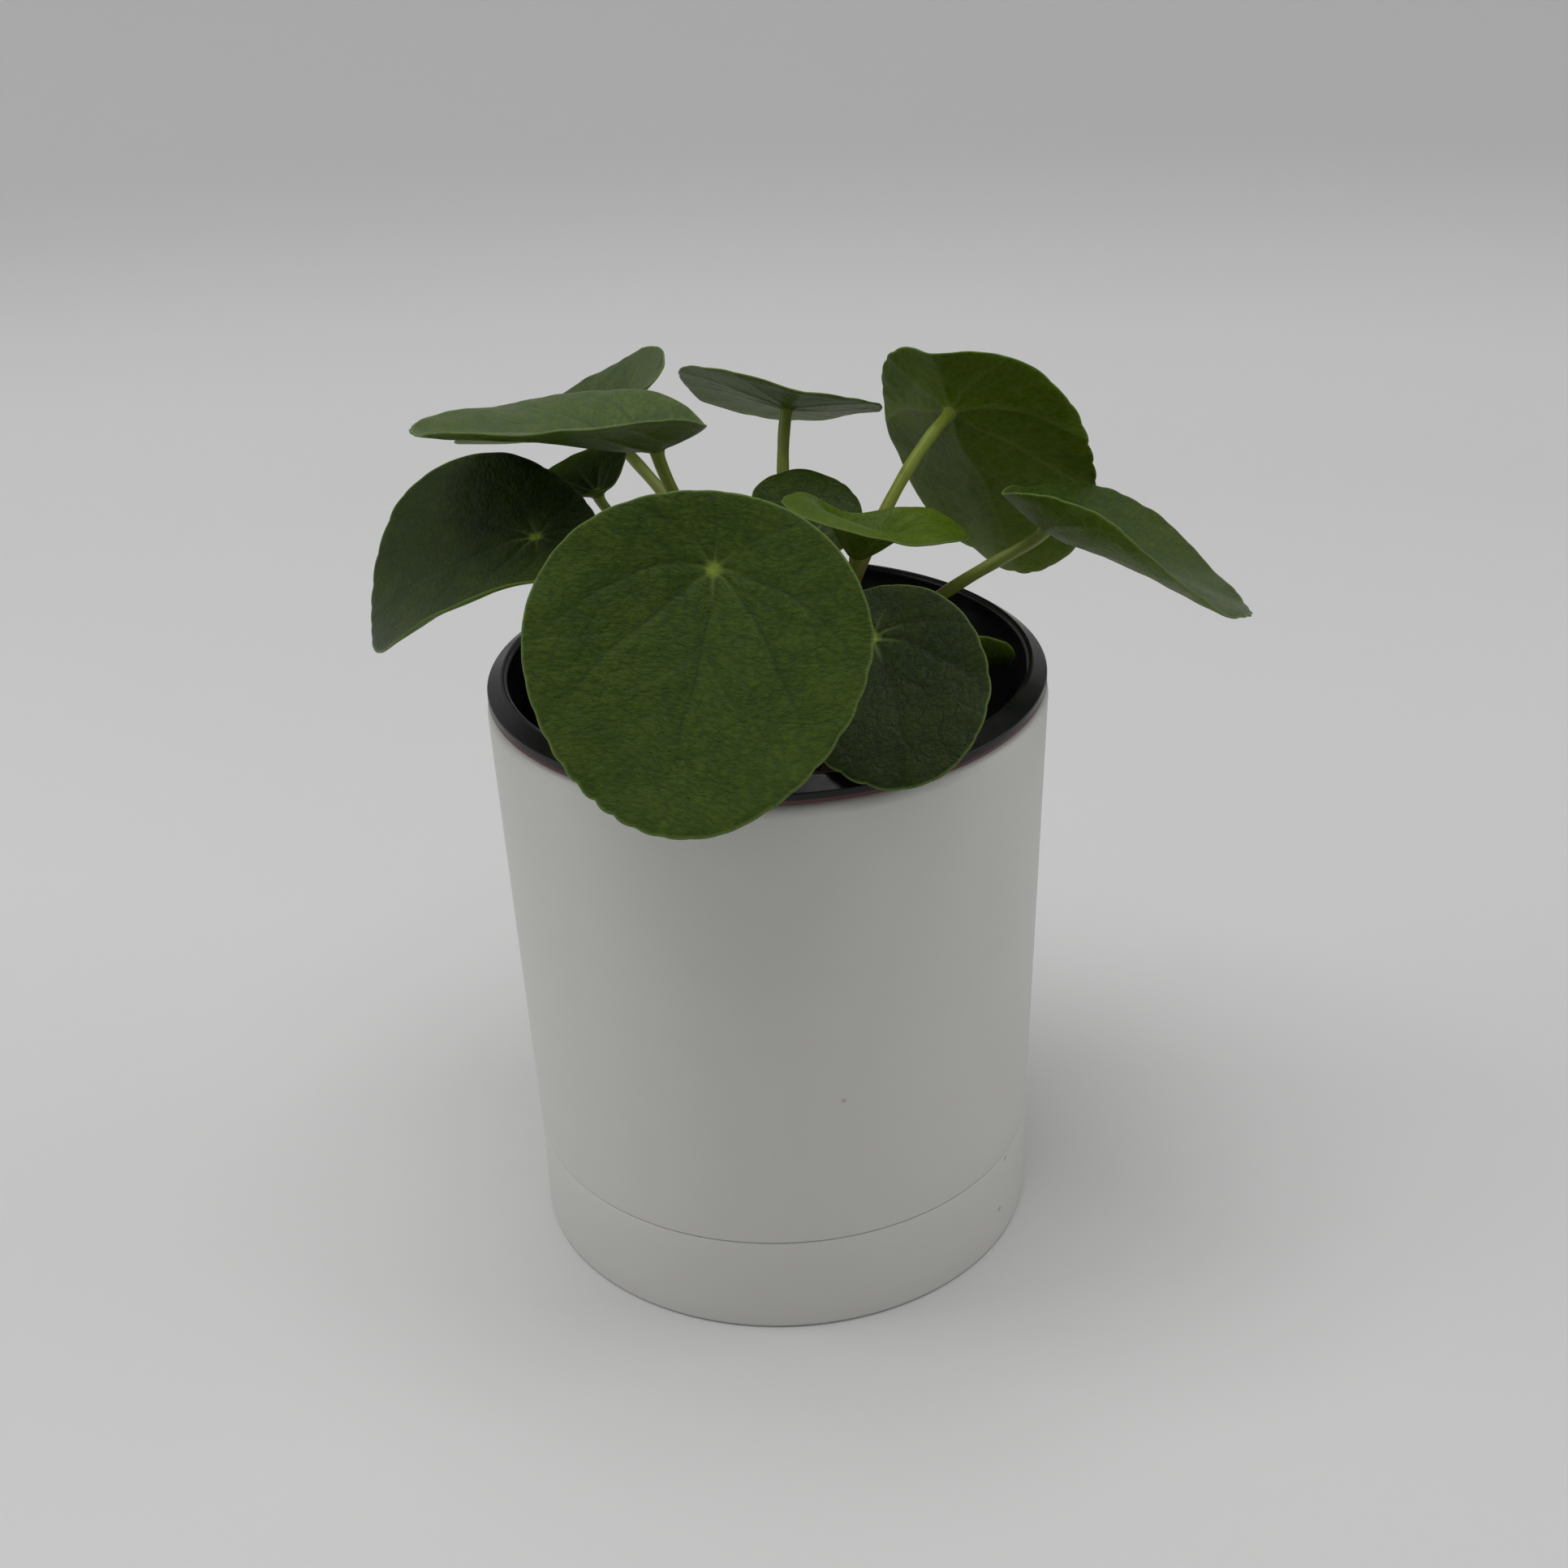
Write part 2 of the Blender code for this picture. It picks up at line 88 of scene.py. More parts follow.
# ----------------------------------------------------------------- soil and stem
SOIL_MOUND = 3.0
SOIL_RINGS = 46
SOIL_STEPS = 160
SOIL_SINK = 0.9          # middle of the lumpy surface, below the CAD's smooth one
SOIL_LUMPS = 0.27        # size of the slow waves in it
SOIL_GRAIN = 0.28        # and of its fine roughness
CRUMBS = 520
STEM_FOOT_RADIUS = 4.4
STEM_TOP_RADIUS = 3.0
STEM_LEAN = (2.0, -1.0)
STEM_RISE = 17.4         # the free part of the stem, up to where its tip rounds off
STEM_CROWN = 1.9
STEM_RINGS = 56
STEM_SIDES = 40
STEM_SCARS = 7           # where old leaves fell off
SCAR_START = 13
SCAR_STEP = 2.3

# ------------------------------------------------------------------------ leaves
BLADE_THICK = 0.8        # a little less than in CAD, so that veins and waves have room
MARGIN_THICK = 0.34
MARGIN_ROUND = 0.16      # how far the rounded margin stands out
LARGE_BLADE = 30         # length from which a blade gets the finer grid
LARGE_GRID = (208, 40)   # vertices round a blade, and rings from stalk to margin
SMALL_GRID = (128, 26)
TOOTH_PITCH = 5.2        # along the margin
TOOTH_DEPTH = 0.42
WAVE_DEPTH = 0.62
PUFF_DEPTH = 0.10        # swelling between the veins
VEIN_SINK = 0.22         # veins are sunk on top
VEIN_RIDGE = 0.26        # and stand out below
COLLAR_DEPTH = 0.9       # swelling of the underside round the stalk
DIMPLE_DEPTH = 0.3       # hollow on top of the stalk
VEIN_REACH = 0.55        # reach of the veins, share of length
TYPICAL_LENGTH = 58      # the large leaves, for which the fine patterns are sized
FUNNEL_SPREAD = 0.28     # width of the funnel over the stalk, share of length
CREASE_WIDTH = 4.0
CREASE_STEPS = 12
STALK_GAP = 0.9          # between a stalk's axis ends and the stem or blade in CAD
STALK_TAPER = 0.12
STALK_RINGS = 48
STALK_SIDES = 20

# ------------------------------------------------------------------------- stage
SWEEP_MIDDLE = -900.0    # the round sweep is centred this far along Y
SWEEP_FLAT = 1340.0      # radius of its flat part
SWEEP_CURVE = 420.0
SWEEP_HEIGHT = 1500.0
SWEEP_STEPS = 96
WORLD_STRENGTH = 0.32
LIGHT_TARGET = (0.0, 0.0, 0.09)
LIGHTS = (               # name, place and size in metres, power in watts
    ("top_light", (-0.1, -0.1, 1.45), 1.1, 8.4),
    ("left_light", (-1.0, 0.0, 0.62), 0.6, 1.9),
    ("right_light", (1.0, 0.0, 0.62), 0.6, 1.35),
)
CAMERA_RISE = 27.43      # degrees above the horizon
CAMERA_ROLL = -2.07
CAMERA_TARGET = (0.0025, 0.0, 0.0948)
CAMERA_DISTANCE = 0.4358
CAMERA_LENS = 50.2
CAMERA_SENSOR = 36.0
CAMERA_NEAR = 0.01

# Veins of a blade, in polar form about the stalk: where each starts (share of the
# blade's reach), its angle from the tip there, how much that angle changes over
# one reach, its half width, and its strength.  Each has a twin on the other side.
VEINS = (
    (0.0, 0, 0, 0.50, 1.0),
    (0.0, 50, -9, 0.42, 0.95),
    (0.0, 93, -30, 0.40, 0.85),
    (0.0, 136, -22, 0.36, 0.6),
    (0.0, 180, 0, 0.34, 0.5),
    (0.38, 0, 66, 0.34, 0.55),
    (0.66, 0, 70, 0.30, 0.5),
    (0.50, 45.5, 42, 0.34, 0.65),
    (0.46, 79.2, 36, 0.32, 0.45),
    (0.72, 43.5, -52, 0.30, 0.4),
)

# One row per leaf.  First line, as in CAD: heading, pitch and roll in degrees, length,
# width, egg (fuller towards the stalk when negative), share behind the stalk, bend
# (tip, base and across, per metre), fold and cup.  Second line: the stalk's radius,
# its lift (how steeply it climbs) and run (how long it stays square to the blade);
# then tone (how light the leaf is: partly its own shade of green, partly painted shade
# for leaves that sit in shadow and painted sheen for leaves that catch the light), gloss
# (its specular level), wave (how wavy its margin is) and young (how far it keeps the
# yellow green of a new leaf).
LEAF_COLUMNS = ("heading", "pitch", "roll", "length", "width", "egg", "share", "bend", "fold",
                "cup", "stalk", "lift", "run", "tone", "gloss", "wave", "young")
LEAF_ROWS = {
    "front": (250, -64, -2, 58, 60, -0.14, 0.22, (-5, -1, -3), 5, 2.5,
              1.2, 0.38, 5, 1.0, 0.17, 1.0, 0.1),
    "left": (187, -7, -9, 48, 55, 0.02, 0.24, (19, 14, -26), -8, 0.5,
             1.2, 0.38, 5, 0.55, 0.11, 0.8, 0.0),
    "upper_left": (191, -6, 10, 54, 51, -0.27, 0.18, (-7, -8, 6), 15, 4.6,
                   1.2, 0.38, 5, 1.2, 0.40, 0.8, 0.2),
    "back_left": (138, -34, -4, 50, 49, -0.05, 0.29, (-13, 2, -12), 12, 4.4,
                  1.2, 0.38, 5, 1.0, 0.24, 0.8, 0.1),
    "small_left": (121, 0, -16, 17, 19, 0.0, 0.27, (5, 5, 0), 8, 3.4,
                   1.0, 0.38, 5, 0.55, 0.08, 0.5, 0.1),
    "back": (108, -24, 19, 45, 42, -0.07, 0.3, (1, 15, -11), -3, 3.2,
             1.2, 0.12, 15, 1.9, 0.24, 0.8, 0.2),
    "middle": (95, 25, 6, 24, 22, 0.0, 0.27, (5, 5, 0), 3, 2,
               1.0, 0.38, 5, 0.7, 0.17, 0.6, 0.0),
    "young": (286, 0, -15, 27, 37, -0.07, 0.28, (1, 5, 25), 15, 9,
              1.1, 0.38, 5, 1.2, 0.17, 0.5, 0.8),
    "upper_right": (30, -72, -24, 59, 49.5, -0.05, 0.25, (-3, 26, 0), 14, 3,
                    1.2, 0.55, 10, 1.0, 0.16, 1.4, 0.6),
    "right": (331, -29, -20, 52, 57, -0.17, 0.2, (-5, 4, -33), -17, 4.8,
              1.2, 0.45, 5, 0.95, 0.24, 1.0, 0.1),
    "lower_right": (288, -32, 24, 41, 35, 0.0, 0.23, (2, 9, -3), 5, 2,
                    1.1, 0.38, 5, 0.45, 0.14, 0.9, 0.0),
    "bud": (352, 3, -55, 13, 12, 0.0, 0.27, (3, 5, -3), 8, 1.5,
            0.8, 0.15, 5, 0.8, 0.17, 0.3, 0.3),
}
LEAVES = {key: dict(zip(LEAF_COLUMNS, row)) for key, row in LEAF_ROWS.items()}


# ------------------------------------------------------------------- small tools
@functools.cache
def cad_box(node):
    """Lowest and highest corner of a CAD node, in millimetres."""
    return tuple(np.array(corner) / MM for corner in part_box(node))


def top_of(node):
    """Height of a CAD node's top."""
    return cad_box(node)[1][2]


def foot_of(node):
    """Height of a CAD node's underside."""
    return cad_box(node)[0][2]


def radius_of(node):
    """Widest radius of a turned CAD node."""
    return cad_box(node)[1][0]


def linked(name, data):
    """A new object in the scene."""
    thing = bpy.data.objects.new(name, data)
    bpy.context.scene.collection.objects.link(thing)
    return thing


def add_piece(name, verts, faces, mats, node, face_mats=None):
    """A mesh that stands for one CAD node and moves with the plant."""
    mesh = bpy.data.meshes.new(name)
    mesh.from_pydata([tuple(float(c) * MM for c in v) for v in verts], [], faces)
    for mat in mats:
        mesh.materials.append(mat)
    if face_mats is not None:
        mesh.polygons.foreach_set("material_index", face_mats)
    mesh.shade_smooth()
    mesh.validate()
    piece = linked(name, mesh)
    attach(piece, "root")
    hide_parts(node)
    return piece


def set_uv(piece, name, places):
    """A UV map from one place per vertex."""
    layer = piece.data.uv_layers.new(name=name)
    corners = np.zeros(len(piece.data.loops), dtype=np.int32)
    piece.data.loops.foreach_get("vertex_index", corners)
    layer.data.foreach_set("uv", np.asarray(places, np.float32)[corners].ravel())


def set_value(piece, name, values):
    """A named number on every vertex."""
    attribute = piece.data.attributes.new(name, "FLOAT", "POINT")
    attribute.data.foreach_set("value", np.asarray(values, np.float32))


def arc(centre, radius, start_deg, end_deg, steps):
    """Profile points on a circular arc."""
    points = []
    for i in range(steps + 1):
        turn = math.radians(start_deg + (end_deg - start_deg) * i / steps)
        points.append((centre[0] + radius * math.cos(turn), centre[1] + radius * math.sin(turn)))
    return points


def circle(radius, height, steps):
    """Places round the Z axis."""
    turns = [math.tau * k / steps for k in range(steps)]
    return [(radius * math.cos(turn), radius * math.sin(turn), height) for turn in turns]


def fan(steps):
    """Triangles from the first vertex to the ring that follows it."""
    return [(0, 1 + k, 1 + (k + 1) % steps) for k in range(steps)]


def turned(profile, steps=ROUND_STEPS):
    """Vertices and faces of an open profile of (radius, height) turned round the Z axis.

    The profile starts and ends on the axis and runs down its outer side.
    """
    verts = [(0.0, 0.0, profile[0][1])]
    for radius, height in profile[1:-1]:
        verts += circle(radius, height, steps)
    verts.append((0.0, 0.0, profile[-1][1]))
    rings = len(profile) - 2
    faces = []
    for k in range(steps):
        after = (k + 1) % steps
        faces.append((0, 1 + k, 1 + after))
        for j in range(rings - 1):
            here = 1 + j * steps
            faces.append((here + k, here + steps + k, here + steps + after, here + after))
        here = 1 + (rings - 1) * steps
        faces.append((here + k, len(verts) - 1, here + after))
    return verts, faces


def band(here, steps, rising=False):
    """Quads between a ring of vertices that starts at here and the ring after it."""
    faces = []
    for k in range(steps):
        after = (k + 1) % steps
        if rising:
            faces.append((here + k, here + after, here + steps + after, here + steps + k))
        else:
            faces.append((here + k, here + steps + k, here + steps + after, here + after))
    return faces


def densified(profile, longest=6.0):
    """The same profile with its long straight runs divided."""
    points = [profile[0]]
    for a, b in zip(profile, profile[1:]):
        parts = max(1, math.ceil(math.dist(a, b) / longest))
        for i in range(1, parts + 1):
            points.append((a[0] + (b[0] - a[0]) * i / parts, a[1] + (b[1] - a[1]) * i / parts))
    return points


def drill(piece, reach, count, low, high):
    """Cut a ring of round drain holes through a floor, and apply the cuts."""
    tools = []
    for i in range(count):
        turn = math.tau * (i + DRAIN_TURN) / count
        hole = [(0.0, high), (DRAIN_RADIUS, high), (DRAIN_RADIUS, low), (0.0, low)]
        verts, faces = turned(hole, 32)
        mesh = bpy.data.meshes.new("drain")
        shift = np.array((reach * math.cos(turn), reach * math.sin(turn), 0.0))
        mesh.from_pydata([tuple((np.array(v) + shift) * MM) for v in verts], [], faces)
        tool = linked("drain", mesh)
        tools.append(tool)
        cut = piece.modifiers.new("drain", "BOOLEAN")
        cut.operation = "DIFFERENCE"
        cut.solver = "EXACT"
        cut.object = tool
    shaped = piece.evaluated_get(bpy.context.evaluated_depsgraph_get())
    old = piece.data
    piece.data = bpy.data.meshes.new_from_object(shaped)
    piece.modifiers.clear()
    bpy.data.meshes.remove(old)
    for tool in tools:
        bpy.data.objects.remove(tool, do_unlink=True)


def crisp_edges(piece, degrees=38):
    """Smooth shading that breaks at the sharp edges."""
    piece.data.shade_smooth()
    piece.data.set_sharp_from_angle(angle=math.radians(degrees))


# --------------------------------------------------------------------- materials
class Nodes:
    """Short calls for building a node material."""

    def __init__(self, name):
        self.mat = bpy.data.materials.new(name)
        self.mat.use_nodes = True
        self.tree = self.mat.node_tree
        self.shader = self.tree.nodes["Principled BSDF"]

    def feed(self, socket, value):
        """Link an output to a socket, or set the socket's own value."""
        if isinstance(value, bpy.types.NodeSocket):
            self.tree.links.new(value, socket)
        elif isinstance(value, (tuple, list)) and len(value) == 3 and socket.type == "RGBA":
            socket.default_value = (*value, 1.0)
        else:
            socket.default_value = value

    def set(self, **values):
        """Inputs of the Principled shader; an underscore stands for a space."""
        for key, value in values.items():
            self.feed(self.shader.inputs[key.replace("_", " ")], value)

    def place(self):
        """Where a point is on its piece, in metres."""
        return self.tree.nodes.new("ShaderNodeTexCoord").outputs["Object"]

    def uv(self, name):
        """A named UV map."""
        node = self.tree.nodes.new("ShaderNodeUVMap")
        node.uv_map = name
        return node.outputs["UV"]

    def value(self, name):
        """A named number of the mesh."""
        node = self.tree.nodes.new("ShaderNodeAttribute")
        node.attribute_name = name
        return node.outputs["Fac"]

    def split(self, vector):
        """The x, y and z of a vector."""
        node = self.tree.nodes.new("ShaderNodeSeparateXYZ")
        self.feed(node.inputs[0], vector)
        return node.outputs

    def join(self, x, y, z=0.0):
        """A vector from x, y and z."""
        node = self.tree.nodes.new("ShaderNodeCombineXYZ")
        for socket, value in zip(node.inputs, (x, y, z)):
            self.feed(socket, value)
        return node.outputs[0]

    def math(self, operation, a, b=0.0):
        """One step of arithmetic."""
        node = self.tree.nodes.new("ShaderNodeMath")
        node.operation = operation
        self.feed(node.inputs[0], a)
        self.feed(node.inputs[1], b)
        return node.outputs[0]

    def times(self, a, b):
        """A product."""
        return self.math("MULTIPLY", a, b)

    def length(self, x, y):
        """Length of a flat vector."""
        return self.math("SQRT", self.math("ADD", self.times(x, x), self.times(y, y)))

    def ease(self, value, low, high, out_low=0.0, out_high=1.0):
        """A smooth step from out_low to out_high as value goes from low to high."""
        node = self.tree.nodes.new("ShaderNodeMapRange")
        node.interpolation_type = "SMOOTHSTEP"
        for socket, part in zip(node.inputs, (value, low, high, out_low, out_high)):
            self.feed(socket, part)
        return node.outputs[0]

    def scaled(self, vector, x, y, z=1.0, shift=0.0):
        """A vector stretched along each axis, then shifted."""
        node = self.tree.nodes.new("ShaderNodeMapping")
        self.feed(node.inputs["Vector"], vector)
        node.inputs["Scale"].default_value = (x, y, z)
        node.inputs["Location"].default_value = (shift, shift, shift)
        return node.outputs[0]

    def noise(self, vector, scale, detail=3.0, roughness=0.55):
        """Soft noise from 0 to 1."""
        node = self.tree.nodes.new("ShaderNodeTexNoise")
        self.feed(node.inputs["Vector"], vector)
        node.inputs["Scale"].default_value = scale
        node.inputs["Detail"].default_value = detail
        node.inputs["Roughness"].default_value = roughness
        return node.outputs["Fac"]

    def cells(self, vector, scale, feature="F1"):
        """Distance inside a pattern of cells, from their middles or from their edges."""
        node = self.tree.nodes.new("ShaderNodeTexVoronoi")
        node.feature = feature
        self.feed(node.inputs["Vector"], vector)
        node.inputs["Scale"].default_value = scale
        return node.outputs["Distance"]

    def mix(self, share, a, b, blend="MIX"):
        """A mix of two colours."""
        node = self.tree.nodes.new("ShaderNodeMix")
        node.data_type = "RGBA"
        node.blend_type = blend
        self.feed(node.inputs[0], share)
        self.feed(node.inputs[6], a)
        self.feed(node.inputs[7], b)
        return node.outputs[2]

    def bump(self, height, depth, under=None):
        """A bump whose full height is depth millimetres."""
        node = self.tree.nodes.new("ShaderNodeBump")
        node.inputs["Strength"].default_value = 1.0
        node.inputs["Distance"].default_value = depth * MM
        self.feed(node.inputs["Height"], height)
        if under is not None:
            self.feed(node.inputs["Normal"], under)
        return node.outputs[0]


def planter_plastic():
    """Off-white satin plastic, with faint clouding, a moulded skin and a few specks."""
    n = Nodes("planter_plastic")
    at = n.place()
    cloud = n.noise(at, 22, 3)
    skin = n.noise(at, 900, 2)
    streak = n.noise(n.scaled(at, 14, 14, 90), 1, 2)
    speck_at = n.cells(at, 70)
    speck = n.ease(speck_at, 0.035, 0.06, 1.0, 0.0)
    rare = n.ease(n.noise(at, 31, 1), 0.62, 0.66)
    colour = n.mix(cloud, (0.655, 0.65, 0.62), (0.70, 0.695, 0.665))
    colour = n.mix(n.ease(streak, 0.35, 0.7, 0.0, 0.3), colour, (0.70, 0.695, 0.67))
    marked = n.times(n.times(speck, rare), 0.5)
    colour = n.mix(marked, colour, (0.3, 0.28, 0.25))
    n.set(Base_Color=colour, Roughness=n.ease(cloud, 0.3, 0.7, 0.4, 0.5))
    n.set(Subsurface_Weight=0.08, Subsurface_Radius=(1.0, 0.95, 0.85), Subsurface_Scale=2 * MM)
    n.set(Normal=n.bump(skin, 0.02, n.bump(streak, 0.05)))
    return n.mat


def black_plastic():
    """Glossy black plastic of the growing pot, dusty in places."""
    n = Nodes("black_plastic")
    at = n.place()
    dust = n.noise(at, 60, 5, 0.65)
    fine = n.noise(at, 700, 2)
    colour = n.mix(n.ease(dust, 0.45, 0.8, 0.0, 0.5), (0.005, 0.005, 0.0055), (0.022, 0.021, 0.020))
    n.set(Base_Color=colour, Roughness=n.ease(dust, 0.3, 0.8, 0.24, 0.46))
    n.set(Specular_IOR_Level=0.3, Normal=n.bump(fine, 0.015))
    return n.mat


def red_plastic():
    """Brick red outside of the growing pot."""
    n = Nodes("red_plastic")
    at = n.place()
    dust = n.noise(at, 80, 4)
    colour = n.mix(dust, (0.055, 0.010, 0.007), (0.10, 0.022, 0.015))
    n.set(Base_Color=colour, Roughness=n.ease(dust, 0.3, 0.7, 0.4, 0.6))
    n.set(Normal=n.bump(n.noise(at, 600, 2), 0.015))
    return n.mat


def potting_mix():
    """Dark damp peat."""
    n = Nodes("potting_mix")
    at = n.place()
    clods = n.noise(at, 260, 6, 0.7)
    grains = n.cells(at, 900)
    damp = n.noise(at, 45, 3)
    colour = n.mix(n.ease(clods, 0.3, 0.72), (0.010, 0.006, 0.004), (0.055, 0.034, 0.020))
    colour = n.mix(n.ease(damp, 0.35, 0.7, 0.0, 0.5), colour, (0.018, 0.012, 0.008))
    n.set(Base_Color=colour, Roughness=n.ease(damp, 0.3, 0.7, 0.95, 0.7))
    n.set(Normal=n.bump(grains, 0.35, n.bump(clods, 0.8)))
    return n.mat


def crumb_skin(name, dark, light):
    """Bark and perlite crumbs."""
    n = Nodes(name)
    at = n.place()
    grain = n.noise(at, 800, 4)
    colour = n.mix(n.ease(grain, 0.3, 0.7), dark, light)
    n.set(Base_Color=colour, Roughness=0.9, Normal=n.bump(grain, 0.2))
    return n.mat


def stem_bark():
    """Brown corky bark, greener towards the tip."""
    n = Nodes("stem_bark")
    at = n.place()
    share = n.split(n.uv("length"))[1]
    cork = n.noise(n.scaled(at, 500, 500, 1400), 1, 5, 0.65)
    patch = n.noise(at, 300, 3)
    colour = n.mix(n.ease(cork, 0.35, 0.7), (0.055, 0.030, 0.014), (0.20, 0.125, 0.060))
    colour = n.mix(n.ease(patch, 0.55, 0.7, 0.0, 0.5), colour, (0.09, 0.095, 0.035))
    colour = n.mix(n.ease(share, 0.80, 1.0, 0.0, 0.8), colour, (0.12, 0.16, 0.045))
    n.set(Base_Color=colour, Roughness=0.75, Normal=n.bump(cork, 0.25))
    return n.mat


def stalk_skin(key, leaf):
    """Smooth stalk: yellow green under the blade, reddish brown towards the stem."""
    n = Nodes("stalk_" + key)
    at = n.place()
    share = n.split(n.uv("length"))[1]
    mottle = n.noise(n.scaled(at, 400, 400, 160), 1, 3)
    rib = n.noise(n.scaled(n.uv("length"), 9, 0.6), 1, 2)
    young = leaf["young"]
    green = (0.185 + 0.04 * young, 0.235 + 0.06 * young, 0.028)
    brown = (0.24, 0.150 + 0.02 * young, 0.045)
    blush = n.math("ADD", share, n.times(n.math("SUBTRACT", mottle, 0.5), 0.5))
    colour = n.mix(n.ease(blush, 0.1, 0.85), brown, green)
    colour = n.mix(n.ease(share, 0.94, 1.0, 0.0, 0.6), colour, (0.21, 0.28, 0.05))
    colour = n.mix(n.ease(mottle, 0.5, 0.75, 0.0, 0.35), colour, (0.10, 0.085, 0.03))
    n.set(Base_Color=colour, Roughness=0.38, Specular_IOR_Level=0.3, Normal=n.bump(rib, 0.12))
    n.set(Subsurface_Weight=0.2, Subsurface_Radius=(1.0, 0.9, 0.3), Subsurface_Scale=0.8 * MM)
    return n.mat


def vein_lines(n, x, y, reach, wide):
    """How much a point lies on a vein, from 0 to 1, over all the veins."""
    run = n.length(x, y)
    turn = n.math("ABSOLUTE", n.math("ARCTAN2", x, y))
    share = n.math("DIVIDE", run, reach)
    total = None
    for start, angle, swing, half, strength in VEINS:
        base = math.radians(angle - swing * start)
        bearing = n.math("MULTIPLY_ADD", share, math.radians(swing))
        bearing.node.inputs[2].default_value = base
        away = n.times(n.math("ABSOLUTE", n.math("SUBTRACT", turn, bearing)), run)
        line = n.ease(away, 0.0, 2 * half * wide, 1.0, 0.0)
        fade = n.ease(share, 0.35, 1.45, strength, 0.12 * strength)
        line = n.times(line, fade)
        if start:
            line = n.times(line, n.ease(share, start, start + 0.05))
        total = line if total is None else n.math("MAXIMUM", total, line)
    return total


def leaf_skin(key, leaf, under):
    """One side of a blade: veins, their fine net, mottling, crinkle and pale margin."""
    n = Nodes("leaf_%s_%s" % (key, "under" if under else "top"))
    flat = n.uv("flat")
    x, y, _ = n.split(flat)
    rim = n.value("rim")
    reach = leaf["length"] * VEIN_REACH
    seed = 7.3 * sorted(LEAVES).index(key)      # every leaf has its own pattern
    # tone scales the leaf's colours: partly its own shade of green, partly painted shade on leaves
    # in shadow and painted sheen on leaves that catch the light
    tone, young = leaf["tone"], leaf["young"]
    if under:
        deep = (0.042 + 0.025 * young, 0.090 + 0.035 * young, 0.001)
        light = (0.085 + 0.035 * young, 0.140 + 0.04 * young, 0.003)
        line_colour = (0.13 + 0.03 * young, 0.19 + 0.03 * young, 0.04)
    else:
        deep = (0.022 * tone + 0.035 * young, 0.050 * tone + 0.055 * young, 0.002)
        light = (0.064 * tone + 0.035 * young, 0.104 * tone + 0.045 * young, 0.006 * tone)
        line_colour = (0.016 * tone + 0.03 * young, 0.034 * tone + 0.05 * young, 0.004)
    patch = n.noise(n.scaled(flat, 0.11, 0.13, 1, seed), 1, 4, 0.6)
    crinkle = n.noise(n.scaled(flat, 0.65, 1.45, 1, seed), 1, 5, 0.62)
    grain = n.noise(n.scaled(flat, 2.6, 3.6, 1, seed), 1, 3, 0.6)
    bent = n.join(n.math("ADD", x, n.times(crinkle, 1.6)),
                  n.math("ADD", y, n.times(patch, 4.0)), seed)
    net = n.ease(n.cells(bent, 0.30, "DISTANCE_TO_EDGE"), 0.0, 0.16, 1.0, 0.0)
    mesh = n.ease(n.cells(bent, 0.85, "DISTANCE_TO_EDGE"), 0.0, 0.2, 1.0, 0.0)
    veins = vein_lines(n, x, y, reach, 0.8 if under else 0.62)
    wide = vein_lines(n, x, y, reach, 2.6)
    mottle = n.math("ADD", n.times(patch, 0.4), n.times(crinkle, 0.6))
    colour = n.mix(n.ease(mottle, 0.36, 0.66), deep, light)
    colour = n.mix(n.ease(grain, 0.5, 0.8, 0.0, 0.28), colour, light)
    colour = n.mix(n.times(net, 0.30), colour, line_colour)
    colour = n.mix(n.times(mesh, 0.18), colour, line_colour)
    colour = n.mix(n.ease(rim, 0.55, 1.0, 0.0, 0.15), colour, light)
    run = n.length(x, y)
    line_colour = n.mix(n.ease(run, 1.5, 8.0, 0.8, 0.0), line_colour, (0.13, 0.19, 0.04))
    colour = n.mix(n.times(veins, 0.75), colour, line_colour)
    spot = n.math("ADD", run, n.times(n.math("SUBTRACT", crinkle, 0.5), 2.2))
    size = 0.6 + 0.4 * leaf["length"] / TYPICAL_LENGTH
    colour = n.mix(n.ease(spot, 0.3 * size, 2.1 * size, 0.9, 0.0), colour, (0.25, 0.32, 0.045))
    colour = n.mix(n.ease(rim, 0.985, 1.0, 0.0, 0.6), colour, (0.15, 0.21, 0.06))
    if not under:
        fleck = n.ease(n.cells(n.scaled(flat, 0.42, 0.42, 1, seed), 1), 0.06, 0.1, 1.0, 0.0)
        rare = n.ease(n.noise(n.scaled(flat, 0.2, 0.2, 1, seed + 3), 1, 1), 0.5, 0.6)
        fleck = n.times(n.times(fleck, rare), 0.7)
        colour = n.mix(fleck, colour, (0.012, 0.018, 0.006))
    relief = n.times(n.math("ADD", net, n.times(mesh, 0.6)), -1.0)
    bumps = n.bump(relief, 0.045, n.bump(crinkle, 0.30, n.bump(grain, 0.06)))
    bumps = n.bump(n.times(wide, 1.0 if under else -1.0), 0.12, bumps)
    n.set(Base_Color=colour, Normal=bumps)
    gloss = leaf["gloss"]
    if under:
        n.set(Roughness=n.ease(crinkle, 0.3, 0.7, 0.42, 0.55), Specular_IOR_Level=0.7 * gloss)
    else:
        n.set(Roughness=n.ease(crinkle, 0.3, 0.7, 0.34, 0.46), Specular_IOR_Level=gloss)
    n.set(Subsurface_Weight=0.3, Subsurface_Radius=(0.6, 1.0, 0.05), Subsurface_Scale=MM)
    return n.mat


def paper():
    """Pale matt paper that the plant stands on, with painted shade: greyer where it curves up."""
    n = Nodes("paper")
    at = n.place()
    height = n.split(at)[2]
    tone = n.noise(at, 3, 3)
    grain = n.noise(at, 300, 3)
    colour = n.mix(tone, (0.735, 0.735, 0.735), (0.765, 0.765, 0.762))
    # painted shade: the paper turns grey where it curves up into the wall, in place of the dimmer
    # light there
    colour = n.mix(n.ease(height, 0.004, 0.09), colour, (0.57, 0.57, 0.57))
    n.set(Base_Color=colour, Roughness=0.75, Specular_IOR_Level=0.2, Normal=n.bump(grain, 0.02))
    return n.mat


